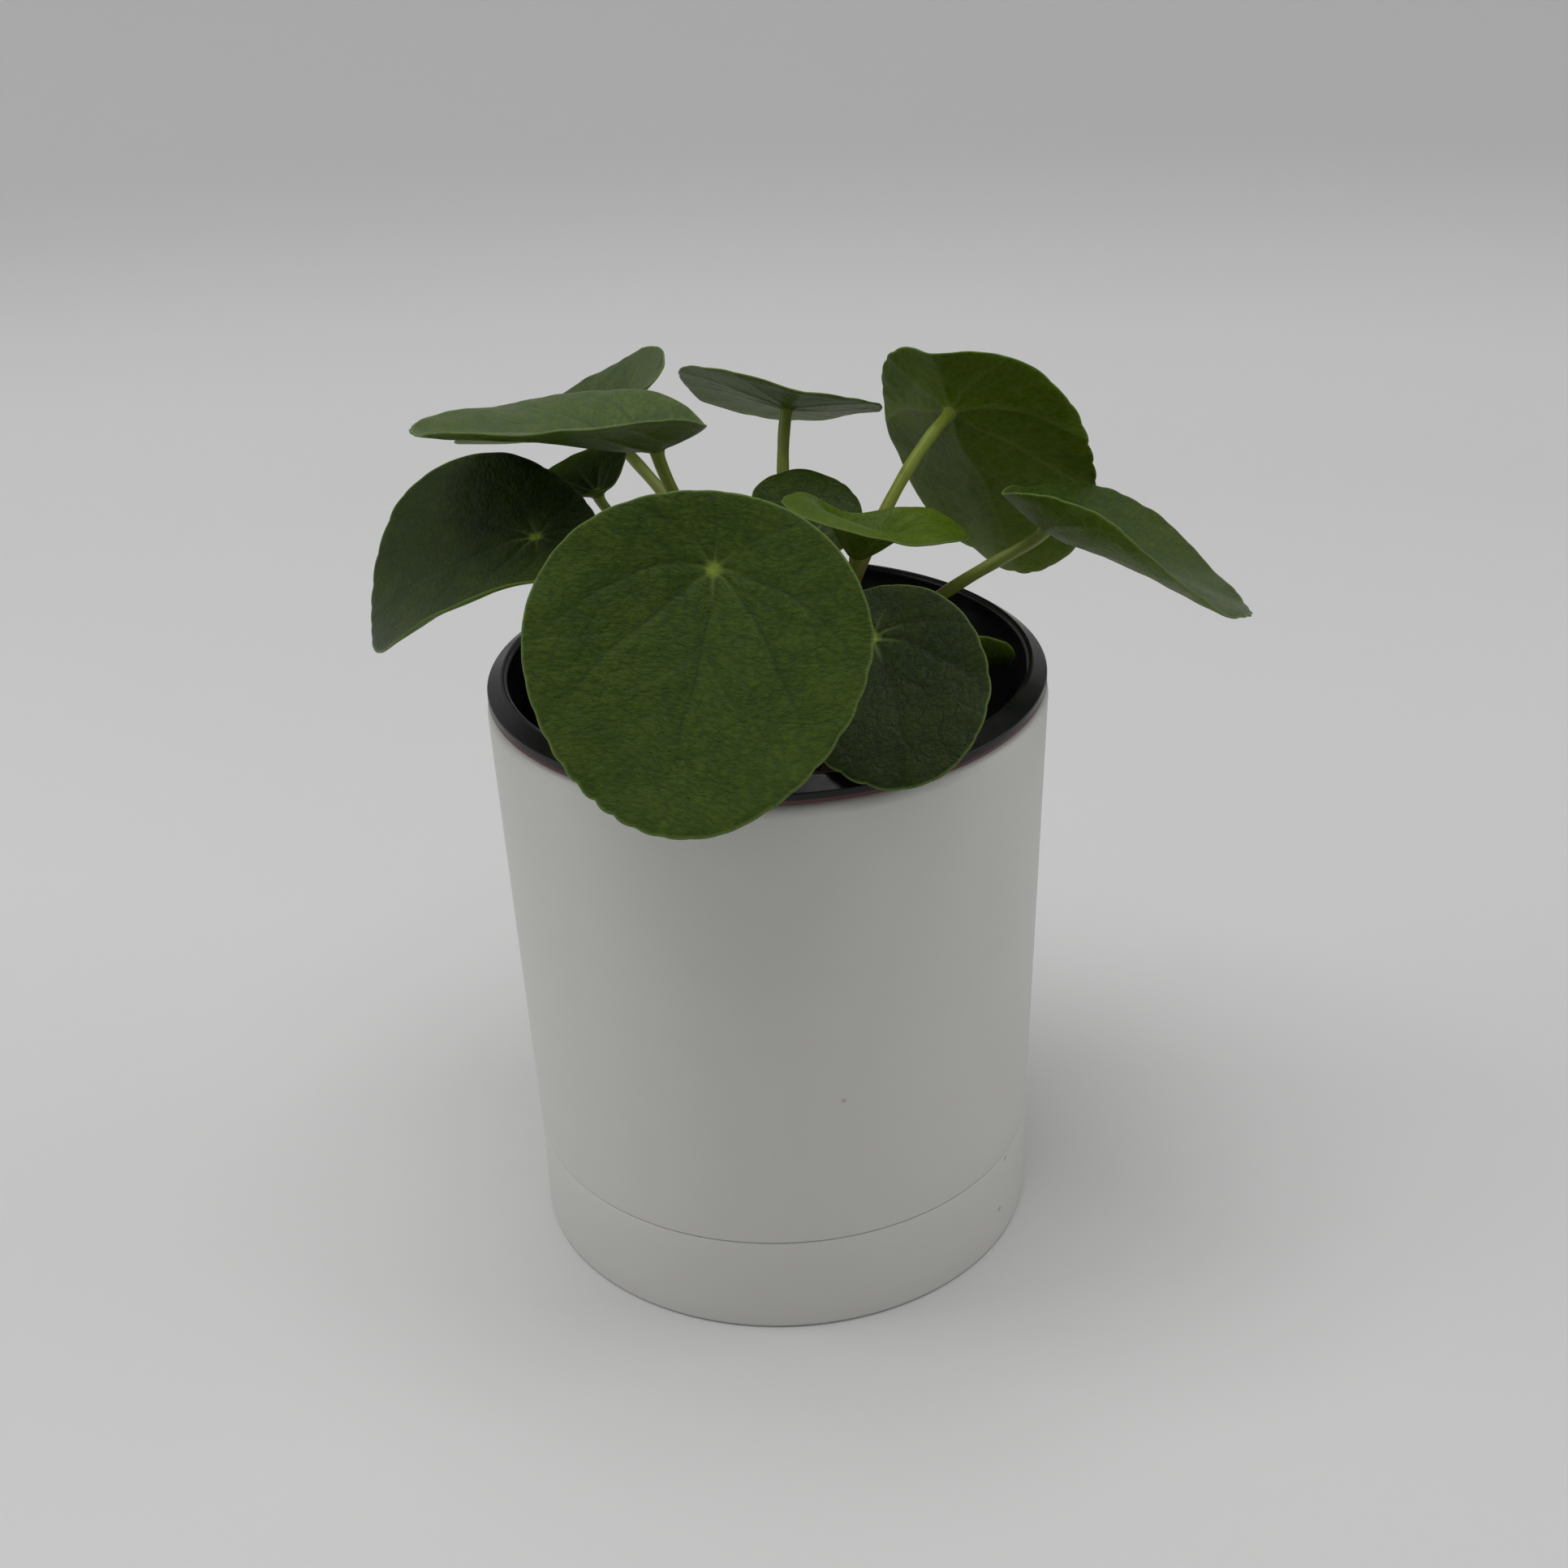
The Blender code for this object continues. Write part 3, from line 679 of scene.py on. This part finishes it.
# ----------------------------------------------------------------------- planter
def saucer(mat):
    """The shallow tray, flat below, with a straight wall up to the seam."""
    wide = radius_of("saucer")
    seam = top_of("saucer") + SEAM_CLOSE
    foot = wide - SAUCER_TAPER
    inner = wide - SAUCER_WALL
    fillet = (inner - SAUCER_FILLET, SAUCER_FLOOR + SAUCER_FILLET)
    profile = [(0.0, SAUCER_FLOOR), (fillet[0], SAUCER_FLOOR)]
    profile += arc(fillet, SAUCER_FILLET, -90, 0, 4)
    profile += arc((inner + SEAM_EDGE, seam - SEAM_EDGE), SEAM_EDGE, 180, 90, 3)
    profile += arc((wide - SEAM_EDGE, seam - SEAM_EDGE), SEAM_EDGE, 90, 0, 4)
    profile += arc((foot - SAUCER_EDGE, SAUCER_EDGE), SAUCER_EDGE, 0, -90, 6)
    profile += [(0.0, 0.0)]
    verts, faces = turned(densified(tidy_profile(profile)))
    piece = add_piece("saucer_tray", verts, faces, [mat], "saucer")
    crisp_edges(piece)


def tidy_profile(profile):
    """The profile without points that repeat."""
    kept = [profile[0]]
    for point in profile[1:]:
        if math.dist(point, kept[-1]) > 0.01:
            kept.append(point)
    return kept


def outer_pot(mat):
    """The planter: tapered wall, rounded lip, and a foot down inside the saucer."""
    base = top_of("saucer") + SEAM_GAP
    seam = radius_of("saucer")
    wide = radius_of("outer_pot")
    lip = top_of("outer_pot")
    floor_low = foot_of("outer_pot")
    floor_high = floor_low + POT_FLOOR
    foot = seam - SAUCER_WALL - SEAM_GAP
    inner = foot - POT_WALL
    centre = wide - POT_LIP_ROUND
    profile = [(0.0, floor_high), (inner, floor_high), (inner, base + POT_STEP_RISE),
               (seam - POT_WALL, base + 2 * POT_STEP_RISE),
               (centre - POT_LIP_EASE, lip - POT_LIP_ROUND - POT_STEP_RISE)]
    profile += arc((centre, lip - POT_LIP_EASE), POT_LIP_EASE, 180, 100, 4)
    profile += arc((centre, lip - POT_LIP_ROUND), POT_LIP_ROUND, 90, 0, 8)
    profile += arc((seam - SEAM_EDGE, base + SEAM_EDGE), SEAM_EDGE, 0, -90, 4)
    profile += [(foot, base), (foot, floor_low), (0.0, floor_low)]
    verts, faces = turned(densified(tidy_profile(profile)))
    piece = add_piece("planter", verts, faces, [mat], "outer_pot")
    drill(piece, POT_DRAIN_CIRCLE, POT_DRAINS, floor_low - 1, floor_high + 1)
    crisp_edges(piece)


def nursery_sizes():
    """Radii and heights of the growing pot: rim, crest, ledge and foot."""
    crest_top = top_of("nursery_pot")
    rim = radius_of("nursery_pot")
    collar = rim - RIM_CREST_INSET - RIM_CREST_ROUND + NURSERY_WALL
    return dict(crest_top=crest_top, rim=rim, collar=collar, ledge=collar - LEDGE_WIDTH,
                ledge_high=crest_top - LEDGE_TOP_DROP, ledge_low=crest_top - LEDGE_DROP,
                floor=foot_of("nursery_pot"))


def nursery_wall(height):
    """Outside radius of the growing pot's tapered wall below its ledge."""
    s = nursery_sizes()
    share = (height - s["floor"]) / (s["ledge_low"] - s["floor"])
    return NURSERY_FOOT_RADIUS + (s["ledge"] - NURSERY_FOOT_RADIUS) * share


def nursery_pot(black, red):
    """The thin growing pot: black inside and on the rim, brick red outside."""
    s = nursery_sizes()
    wall = NURSERY_WALL
    skirt = top_of("outer_pot") + SEAM_GAP
    crest = (s["rim"] - RIM_CREST_INSET, s["crest_top"] - RIM_CREST_ROUND)
    edge = (s["rim"] - RIM_EDGE_ROUND, s["crest_top"] - RIM_EDGE_DROP - RIM_EDGE_ROUND)
    black_part = [(0.0, s["floor"] + wall), (NURSERY_FOOT_RADIUS - wall, s["floor"] + wall),
                  (s["ledge"] - wall, s["ledge_low"]), (s["collar"] - wall, s["ledge_high"])]
    black_part += arc(crest, RIM_CREST_ROUND, 180, 40, 10)
    black_part += [(crest[0] + RIM_SHOULDER[0], crest[1] + RIM_SHOULDER[1])]
    black_part += arc(edge, RIM_EDGE_ROUND, 70, 0, 5)
    black_part += [(s["rim"], skirt + RED_BAND)]
    black_part = densified(tidy_profile(black_part), 4.0)
    red_part = [(s["rim"], skirt + SKIRT_EDGE), (s["rim"] - SKIRT_EDGE, skirt),
                (s["collar"], skirt), (s["collar"], s["ledge_high"] - wall),
                (s["ledge"], s["ledge_low"] - wall), (NURSERY_FOOT_RADIUS, s["floor"]),
                (0.0, s["floor"])]
    verts, faces = turned(black_part + red_part)
    rings = len(black_part) + len(red_part) - 2
    per_wedge = [0] + [0 if j < len(black_part) - 2 else 1 for j in range(rings - 1)] + [1]
    piece = add_piece("growing_pot", verts, faces, [black, red], "nursery_pot",
                      face_mats=per_wedge * ROUND_STEPS)
    drill(piece, NURSERY_DRAIN_CIRCLE, NURSERY_DRAINS, s["floor"] - 1, s["floor"] + wall + 1)
    crisp_edges(piece)


# -------------------------------------------------------------------------- soil
def soil_surface(radius, edge):
    """Height of the soil, mounded towards the middle."""
    return top_of("potting_soil") - SOIL_MOUND * (radius / edge) ** 2


def crumb(rng, centre, size):
    """A small angular lump: a squashed and dented icosphere's points and faces."""
    phi = (1 + 5 ** 0.5) / 2
    points = []
    for a in (-1, 1):
        for b in (-phi, phi):
            points += [(0, a, b), (a, b, 0), (b, 0, a)]
    points = np.array(points, float) / math.hypot(1, phi)
    faces = hull_faces(points)
    turn = np.linalg.qr(rng.normal(size=(3, 3)))[0]
    if np.linalg.det(turn) < 0:
        turn[:, 0] *= -1
    stretch = np.array((1.0, rng.uniform(0.5, 0.9), rng.uniform(0.35, 0.7))) * size
    dented = points * rng.uniform(0.75, 1.1, (12, 1))
    return (dented * stretch) @ turn.T + centre, faces


def hull_faces(points):
    """The twenty outward triangles of an icosahedron's points."""
    near = np.linalg.norm(points[:, None] - points[None], axis=2)
    side = near[near > 0.1].min() * 1.05
    faces = []
    for i in range(12):
        for j in range(i + 1, 12):
            for k in range(j + 1, 12):
                if near[i, j] < side and near[j, k] < side and near[i, k] < side:
                    out = np.cross(points[j] - points[i], points[k] - points[i])
                    outward = out @ (points[i] + points[j] + points[k]) > 0
                    faces.append((i, j, k) if outward else (i, k, j))
    return faces


def potting_soil(peat, bark, perlite):
    """The plug of soil: a lumpy top, a smooth tapered side, and loose crumbs on top."""
    rng = np.random.default_rng(5)
    low = foot_of("potting_soil")
    edge = radius_of("potting_soil")
    waves = [(rng.uniform(0.08, 0.55, 2) * rng.choice((-1, 1), 2), rng.uniform(0, math.tau),
              rng.uniform(0.5, 1.0)) for _ in range(26)]

    def lumps(x, y):
        """Uneven height of the surface."""
        total = 0.0
        for pitch, phase, size in waves:
            total += size * math.sin(pitch[0] * x + pitch[1] * y + phase)
        return SOIL_LUMPS * total

    verts = [(0.0, 0.0, soil_surface(0, edge) - SOIL_SINK)]
    for j in range(1, SOIL_RINGS + 1):
        radius = edge * j / SOIL_RINGS
        for k in range(SOIL_STEPS):
            turn = math.tau * k / SOIL_STEPS
            x, y = radius * math.cos(turn), radius * math.sin(turn)
            rough = rng.uniform(-SOIL_GRAIN, SOIL_GRAIN)
            verts.append((x, y, soil_surface(radius, edge) - SOIL_SINK + lumps(x, y) + rough))
    foot = nursery_wall(low) - NURSERY_WALL - 2 * SEAM_GAP
    verts += circle(foot, low, SOIL_STEPS) + circle(0.01, low, SOIL_STEPS)
    faces = fan(SOIL_STEPS)
    for j in range(SOIL_RINGS + 1):
        faces += band(1 + j * SOIL_STEPS, SOIL_STEPS)
    last = 1 + (SOIL_RINGS + 1) * SOIL_STEPS
    faces.append(tuple(range(last + SOIL_STEPS - 1, last - 1, -1)))
    face_mats = [0] * len(faces)
    for i in range(CRUMBS):
        radius = (edge - 2.5) * math.sqrt(rng.uniform(0.01, 1))
        turn = rng.uniform(0, math.tau)
        x, y = radius * math.cos(turn), radius * math.sin(turn)
        size = rng.uniform(0.5, 1.5) if i % 9 else rng.uniform(1.4, 2.4)
        height = soil_surface(radius, edge) - SOIL_SINK + lumps(x, y) + 0.25 * size
        points, sides = crumb(rng, np.array((x, y, height)), size)
        start = len(verts)
        verts += [tuple(p) for p in points]
        faces += [tuple(start + c for c in side) for side in sides]
        face_mats += [2 if i % 23 == 0 else 1 if i % 3 == 0 else 0] * len(sides)
    piece = add_piece("soil", verts, faces, [peat, bark, perlite], "potting_soil",
                      face_mats=face_mats)
    crisp_edges(piece, 60)


# -------------------------------------------------------------------------- stem
def stem_base():
    """Middle of the stem at the soil, and the height where its free part starts."""
    low, high = cad_box("main_stem")
    return low[0] + STEM_FOOT_RADIUS, low[1] + STEM_FOOT_RADIUS, high[2] - STEM_CROWN - STEM_RISE


def stem_share(height):
    """How far a height is up the free part of the stem: 0 at the soil, 1 at the top."""
    return min(1.0, max(0.0, (height - stem_base()[2]) / STEM_RISE))


def stem_centre(height):
    """Middle of the stem at a height."""
    x, y, _ = stem_base()
    share = stem_share(height)
    lean = share * share * (3 - 2 * share)
    return np.array((x + STEM_LEAN[0] * lean, y + STEM_LEAN[1] * lean, height))


def stem_radius(height):
    """Radius of the stem at a height."""
    return STEM_FOOT_RADIUS + (STEM_TOP_RADIUS - STEM_FOOT_RADIUS) * stem_share(height)


def main_stem(mat):
    """The short trunk: corky rings, old leaf scars and a rounded growing tip."""
    rng = np.random.default_rng(11)
    low = foot_of("main_stem")
    crown = top_of("main_stem") - STEM_CROWN
    scars = [(rng.uniform(0, math.tau), low + SCAR_START + SCAR_STEP * i, rng.uniform(0.5, 0.9))
             for i in range(STEM_SCARS)]
    verts, places = [], []
    heights = list(np.linspace(low, crown, STEM_RINGS))
    sizes = [stem_radius(h) for h in heights]
    for i in range(1, 7):
        turn = math.pi / 2 * i / 7
        heights.append(crown + STEM_CROWN * math.sin(turn))
        sizes.append(STEM_TOP_RADIUS * math.cos(turn))
    for height, size in zip(heights, sizes):
        middle = stem_centre(min(height, crown))
        for k in range(STEM_SIDES):
            turn = math.tau * k / STEM_SIDES
            swell = 0.12 * math.sin(height * 3.1 + 1.3 * math.sin(2 * turn))
            swell += 0.10 * math.sin(3 * turn + height * 0.4) + rng.uniform(-0.05, 0.05)
            for bearing, level, depth in scars:
                off = (math.remainder(turn - bearing, math.tau) * size) ** 2 / 2.6
                off += (height - level) ** 2 / 0.7
                swell += depth * 0.5 * math.exp(-off) - depth * 0.35 * math.exp(-3 * off)
            reach = size * 0.97 + swell * min(1.0, size / STEM_TOP_RADIUS)
            verts.append((middle[0] + reach * math.cos(turn), middle[1] + reach * math.sin(turn),
                          height))
            places.append((k / STEM_SIDES, stem_share(height)))
    rings = len(heights)
    faces = []
    for j in range(rings - 1):
        faces += band(j * STEM_SIDES, STEM_SIDES, rising=True)
    verts.append((*stem_centre(crown)[:2], top_of("main_stem")))
    places.append((0.5, 1.0))
    last = (rings - 1) * STEM_SIDES
    for k in range(STEM_SIDES):
        faces.append((last + k, last + (k + 1) % STEM_SIDES, len(verts) - 1))
    faces.append(tuple(range(STEM_SIDES - 1, -1, -1)))
    piece = add_piece("trunk", verts, faces, [mat], "main_stem")
    set_uv(piece, "length", places)


# ------------------------------------------------------------------------ leaves
def blade_frame(leaf):
    """Unit vectors of a blade: towards the tip, to its left, and out of its face."""
    heading, pitch, roll = (math.radians(leaf[k]) for k in ("heading", "pitch", "roll"))
    tip = np.array([math.cos(pitch) * math.cos(heading), math.cos(pitch) * math.sin(heading),
                    math.sin(pitch)])
    level = np.array([-math.sin(heading), math.cos(heading), 0.0])
    side = math.cos(roll) * level + math.sin(roll) * np.cross(tip, level)
    return tip, side, np.cross(tip, side)


def blade_surface(leaf, across, along):
    """Points of the bent blade for flat places, measured from the stalk."""
    shares = (np.arange(CREASE_STEPS) + 0.5) / CREASE_STEPS
    reach = np.abs(across)[..., None] * shares
    slope = math.radians(leaf["fold"]) * np.tanh(reach / CREASE_WIDTH)
    slope = slope - leaf["bend"][2] * MM * reach
    step = np.abs(across) / CREASE_STEPS
    out = np.copysign(np.cos(slope).sum(-1) * step, across)
    up = np.sin(slope).sum(-1) * step
    curve = np.where(along > 0, leaf["bend"][0], leaf["bend"][1]) * MM
    angle = curve * along
    forward = along * np.sinc(angle / math.pi)
    sink = -angle * along / 2 * np.sinc(angle / math.tau) ** 2
    spread = FUNNEL_SPREAD * leaf["length"]
    funnel = 1 - np.exp(-(across ** 2 + along ** 2) / spread ** 2)
    tip, side, face = blade_frame(leaf)
    tip_run = forward + np.sin(angle) * up
    rise = sink + np.cos(angle) * up + leaf["cup"] * funnel
    return out[..., None] * side + tip_run[..., None] * tip + rise[..., None] * face


def flat_places(leaf, turn, ring):
    """Flat places across and along a blade, for a turn round the stalk and a ring share."""
    across = 0.5 * leaf["width"] * ring * np.cos(turn) * (1 + leaf["egg"] * np.sin(turn))
    along = leaf["length"] * ring * (0.5 * np.sin(turn) + 0.5 - leaf["share"])
    return across, along


def attach_point(key, leaf):
    """Where the stalk meets the blade, so that the blade's box sits on the CAD's."""
    turn = np.linspace(0, math.tau, 180, endpoint=False)
    ring = np.linspace(0, 1, 24)[:, None]
    points = blade_surface(leaf, *flat_places(leaf, turn, ring)).reshape(-1, 3)
    low, high = cad_box("leaf_" + key)
    return (low + high - points.min(0) - points.max(0)) / 2


def margin_waves(leaf, rng, turn):
    """Blunt teeth of the outline and gentle waves of the margin, round the blade."""
    girth = math.pi * (leaf["length"] + leaf["width"]) / 2
    teeth = max(8, round(girth / TOOTH_PITCH))
    drift = 0.5 * np.sin(2 * turn + rng.uniform(0, math.tau))
    drift = drift + 0.35 * np.sin(5 * turn + rng.uniform(0, math.tau))
    lobes = np.abs(np.sin(0.5 * teeth * turn + drift * 1.6)) ** 0.7
    strong = 0.55 + 0.45 * np.sin(turn * 3 + rng.uniform(0, math.tau))
    tooth = leaf["wave"] * TOOTH_DEPTH * strong * (lobes - 0.75)
    wave = np.zeros_like(turn)
    for count, size in ((3, 0.5), (5, 0.4), (8, 0.3), (13, 0.16)):
        wave = wave + size * np.sin(count * turn + rng.uniform(0, math.tau))
    return tooth, leaf["wave"] * WAVE_DEPTH * wave


def warped(leaf, rng, across, along):
    """Flat places with a slow wander, so that the veins aren't ruled."""
    phase = rng.uniform(0, math.tau, 6)
    size = leaf["length"] / TYPICAL_LENGTH
    x = across + 0.8 * size * np.sin(along / (7.1 * size) + phase[0]) \
        + 0.35 * size * np.sin((across - along) / (3.3 * size) + phase[1])
    y = along + 0.7 * size * np.sin(across / (6.3 * size) + phase[2]) \
        + 0.3 * size * np.sin((across + along) / (3.9 * size) + phase[3])
    calm = 1 - np.exp(-(across ** 2 + along ** 2) / (5 * size) ** 2)
    return across + (x - across) * calm, along + (y - along) * calm


def vein_relief(leaf, x, y):
    """How much each place lies on a vein, as the material draws them, but wider."""
    reach = leaf["length"] * VEIN_REACH
    run = np.hypot(x, y)
    turn = np.abs(np.arctan2(x, y))
    share = run / reach
    total = np.zeros_like(run)
    for start, angle, swing, half, strength in VEINS:
        bearing = np.radians(angle + swing * (share - start))
        away = np.abs(turn - bearing) * run
        fade = strength * np.clip(1 - 0.7 * share, 0.1, 1)
        line = np.exp(-(away / (2.2 * half)) ** 2) * fade
        total = np.maximum(total, np.where(share >= start, line, 0))
    return total * np.clip(run / 1.5, 0, 1)


def leaf_blade(key, leaf):
    """A fleshy blade on a polar grid: two skins and a thin rounded margin between."""
    rng = np.random.default_rng(100 + sorted(LEAVES).index(key))
    spokes, rings = LARGE_GRID if leaf["length"] > LARGE_BLADE else SMALL_GRID
    turn = np.linspace(0, math.tau, spokes, endpoint=False)
    tooth, wave = margin_waves(leaf, rng, turn)
    share = (np.arange(1, rings + 1) / rings) ** 0.92
    ring = share[:, None] * (1 + tooth / (0.5 * leaf["length"]) * share[:, None] ** 6)
    across, along = flat_places(leaf, turn, ring)
    x, y = warped(leaf, rng, across, along)
    middle = blade_surface(leaf, across, along)
    nudge = 0.05
    east = blade_surface(leaf, across + nudge, along) - middle
    north = blade_surface(leaf, across, along + nudge) - middle
    normal = np.cross(north, east)
    normal /= np.linalg.norm(normal, axis=2, keepdims=True)
    at = attach_point(key, leaf)
    veins = vein_relief(leaf, x, y)
    spread = share[:, None]
    size = leaf["length"] / TYPICAL_LENGTH
    ripple = wave * spread ** 5
    puff = PUFF_DEPTH * np.sin(x / 2.1 + 1.3 * np.sin(y / 3.0)) * np.sin(y / 1.7 + np.sin(x / 2.6))
    ripple = ripple + puff * size * (1 - veins) * np.clip(2.5 * spread, 0, 1)
    thick = MARGIN_THICK + (BLADE_THICK - MARGIN_THICK) * np.sqrt(np.clip((1 - spread) * 9, 0, 1))
    run = np.hypot(across, along)
    collar = np.exp(-(run / (1.25 * leaf["stalk"])) ** 2)
    dimple = np.exp(-(run / 1.5) ** 2) * DIMPLE_DEPTH
    top = middle + normal * (thick / 2 + ripple - VEIN_SINK * veins - dimple)[..., None]
    swell = VEIN_RIDGE * veins + COLLAR_DEPTH * collar
    under = middle + normal * (-thick / 2 + ripple - swell)[..., None]
    out = middle[-1] - middle[-2]
    out /= np.linalg.norm(out, axis=1, keepdims=True)
    margin = middle[-1] + normal[-1] * ripple[-1][:, None] + out * MARGIN_ROUND
    face = blade_frame(leaf)[2]
    verts = [face * (BLADE_THICK / 2 - DIMPLE_DEPTH)]
    verts += list(top.reshape(-1, 3)) + list(margin) + list(under[::-1].reshape(-1, 3))
    verts += [face * (-BLADE_THICK / 2 - COLLAR_DEPTH)]
    verts = np.array(verts) + at
    places = np.concatenate([[(0, 0)], np.stack([x, y], 2).reshape(-1, 2),
                             np.stack([x[-1], y[-1]], 1),
                             np.stack([x[::-1], y[::-1]], 2).reshape(-1, 2), [(0, 0)]])
    flat_share = np.repeat(share, spokes)
    back_share = np.repeat(share[::-1], spokes)
    rim = np.concatenate([[0], flat_share, np.full(spokes, 1.02), back_share, [0]])
    faces, face_mats = [], []
    last = len(verts) - 1
    for k in range(spokes):
        after = (k + 1) % spokes
        faces.append((0, 1 + after, 1 + k))
        face_mats.append(0)
        for j in range(2 * rings):
            here = 1 + j * spokes
            faces.append((here + k, here + after, here + spokes + after, here + spokes + k))
            face_mats.append(0 if j < rings else 1)
        here = 1 + 2 * rings * spokes
        faces.append((here + k, here + after, last))
        face_mats.append(1)
    mats = [leaf_skin(key, leaf, False), leaf_skin(key, leaf, True)]
    piece = add_piece("blade_" + key, verts, faces, mats, "leaf_" + key,
                      face_mats=face_mats)
    set_uv(piece, "flat", places)
    set_value(piece, "rim", rim)
    return at


def stalk_path(key, leaf, at):
    """Centre line of a stalk, from inside the stem to inside its blade."""
    node = stem_centre(foot_of("petiole_" + key) + leaf["stalk"] * (1 + STALK_TAPER))
    face = blade_frame(leaf)[2]
    away = at - node
    level = np.array([away[0], away[1], 0.0])
    level /= np.linalg.norm(level)
    start = node + level * (stem_radius(node[2]) + STALK_GAP)
    span = np.linalg.norm(at - start)
    rise = start + (0.5 * level + np.array([0.0, 0.0, 1.0])) * leaf["lift"] * span
    end = at - face * (BLADE_THICK / 2 + STALK_GAP)
    under = end - face * leaf["run"]
    points = [node + level * stem_radius(node[2]) * 0.55, start - level * 0.4]
    for i in range(STALK_RINGS + 1):
        s = i / STALK_RINGS
        t = 1 - s
        points.append(t ** 3 * start + 3 * t * t * s * rise + 3 * t * s * s * under + s ** 3 * end)
    points.append(at - face * 0.25)
    return np.array(points)


def leaf_stalk(key, leaf, at):
    """A round stalk that swells where it leaves the stem and where it meets the blade."""
    rng = np.random.default_rng(300 + sorted(LEAVES).index(key))
    path = stalk_path(key, leaf, at)
    steps = np.linalg.norm(np.diff(path, axis=0), axis=1)
    run = np.concatenate([[0], np.cumsum(steps)])
    total = run[-1]
    share = run / total
    radius = leaf["stalk"] * (1 + STALK_TAPER * (1 - share))
    radius = radius * (1 + 0.45 * np.exp(-(run / 2.0) ** 2))
    radius = radius * (1 + 0.30 * np.exp(-((total - run) / 1.2) ** 2))
    radius = radius * (1 + 0.03 * np.sin(run * 0.7 + rng.uniform(0, 6)))
    ahead = np.gradient(path, axis=0)
    ahead /= np.linalg.norm(ahead, axis=1, keepdims=True)
    side = np.cross(ahead[0], (0.0, 0.0, 1.0))
    if np.linalg.norm(side) < 0.1:
        side = np.cross(ahead[0], (1.0, 0.0, 0.0))
    verts, places = [], []
    for i, point in enumerate(path):
        side = side - ahead[i] * (side @ ahead[i])
        side /= np.linalg.norm(side)
        other = np.cross(ahead[i], side)
        for k in range(STALK_SIDES):
            turn = math.tau * k / STALK_SIDES
            flute = 1 + 0.025 * math.sin(5 * turn + 2)
            out = math.cos(turn) * side + math.sin(turn) * other
            verts.append(point + radius[i] * flute * out)
            places.append((k / STALK_SIDES, share[i]))
    faces = []
    for j in range(len(path) - 1):
        faces += band(j * STALK_SIDES, STALK_SIDES, rising=True)
    faces.append(tuple(range(STALK_SIDES - 1, -1, -1)))
    last = (len(path) - 1) * STALK_SIDES
    faces.append(tuple(range(last, last + STALK_SIDES)))
    piece = add_piece("stalk_" + key, verts, faces, [stalk_skin(key, leaf)], "petiole_" + key)
    set_uv(piece, "length", places)


# ------------------------------------------------------------- stage and camera
def floor():
    """Pale paper: flat round the plant, then curving up to a wall on every side."""
    profile = [(200.0 * i, 0.0) for i in range(1, 6)] + [(SWEEP_FLAT, 0.0)]
    profile += arc((SWEEP_FLAT, SWEEP_CURVE), SWEEP_CURVE, -90, 0, 24)[1:]
    profile += [(SWEEP_FLAT + SWEEP_CURVE, SWEEP_HEIGHT)]
    verts = [(0.0, SWEEP_MIDDLE * MM, 0.0)]
    for radius, height in profile:
        for x, y, z in circle(radius, height, SWEEP_STEPS):
            verts.append((x * MM, (SWEEP_MIDDLE + y) * MM, z * MM))
    faces = fan(SWEEP_STEPS)
    for j in range(len(profile) - 1):
        faces += band(1 + j * SWEEP_STEPS, SWEEP_STEPS)
    mesh = bpy.data.meshes.new("sweep")
    mesh.from_pydata(verts, [], faces)
    mesh.materials.append(paper())
    mesh.shade_smooth()
    linked("sweep", mesh)


def area_light(name, place, size, power):
    """A soft square light that faces the plant."""
    data = bpy.data.lights.new(name, "AREA")
    data.size = size
    data.energy = power
    light = linked(name, data)
    light.location = place
    ahead = Vector(LIGHT_TARGET) - Vector(place)
    light.rotation_euler = ahead.to_track_quat("-Z", "Y").to_euler()


def lighting():
    """Soft light from above, with weaker light from both sides."""
    world = bpy.data.worlds.new("studio")
    world.use_nodes = True
    backdrop = world.node_tree.nodes["Background"]
    backdrop.inputs["Color"].default_value = (1.0, 1.0, 1.0, 1.0)
    backdrop.inputs["Strength"].default_value = WORLD_STRENGTH
    bpy.context.scene.world = world
    for row in LIGHTS:
        area_light(*row)


def camera():
    """A camera a little above the plant, looking down at it, tipped slightly."""
    rise = math.radians(CAMERA_RISE)
    tip = math.radians(CAMERA_ROLL)
    target = Vector(CAMERA_TARGET)
    back = Vector((0.0, -math.cos(rise), math.sin(rise)))
    data = bpy.data.cameras.new("camera")
    data.lens = CAMERA_LENS
    data.sensor_width = CAMERA_SENSOR
    data.clip_start = CAMERA_NEAR
    cam = linked("camera", data)
    turn = Matrix.Rotation(math.pi / 2 - rise, 4, "X") @ Matrix.Rotation(tip, 4, "Z")
    cam.matrix_world = Matrix.Translation(target + back * CAMERA_DISTANCE) @ turn
    bpy.context.scene.camera = cam
    bpy.context.scene.view_settings.view_transform = "Standard"


# ------------------------------------------------------------------------- build
plastic = planter_plastic()
saucer(plastic)
outer_pot(plastic)
nursery_pot(black_plastic(), red_plastic())
potting_soil(potting_mix(), crumb_skin("bark_crumb", (0.05, 0.028, 0.014), (0.13, 0.075, 0.04)),
             crumb_skin("perlite", (0.35, 0.33, 0.30), (0.55, 0.53, 0.49)))
main_stem(stem_bark())
for leaf_key, leaf_row in LEAVES.items():
    leaf_stalk(leaf_key, leaf_row, leaf_blade(leaf_key, leaf_row))
floor()
lighting()
camera()
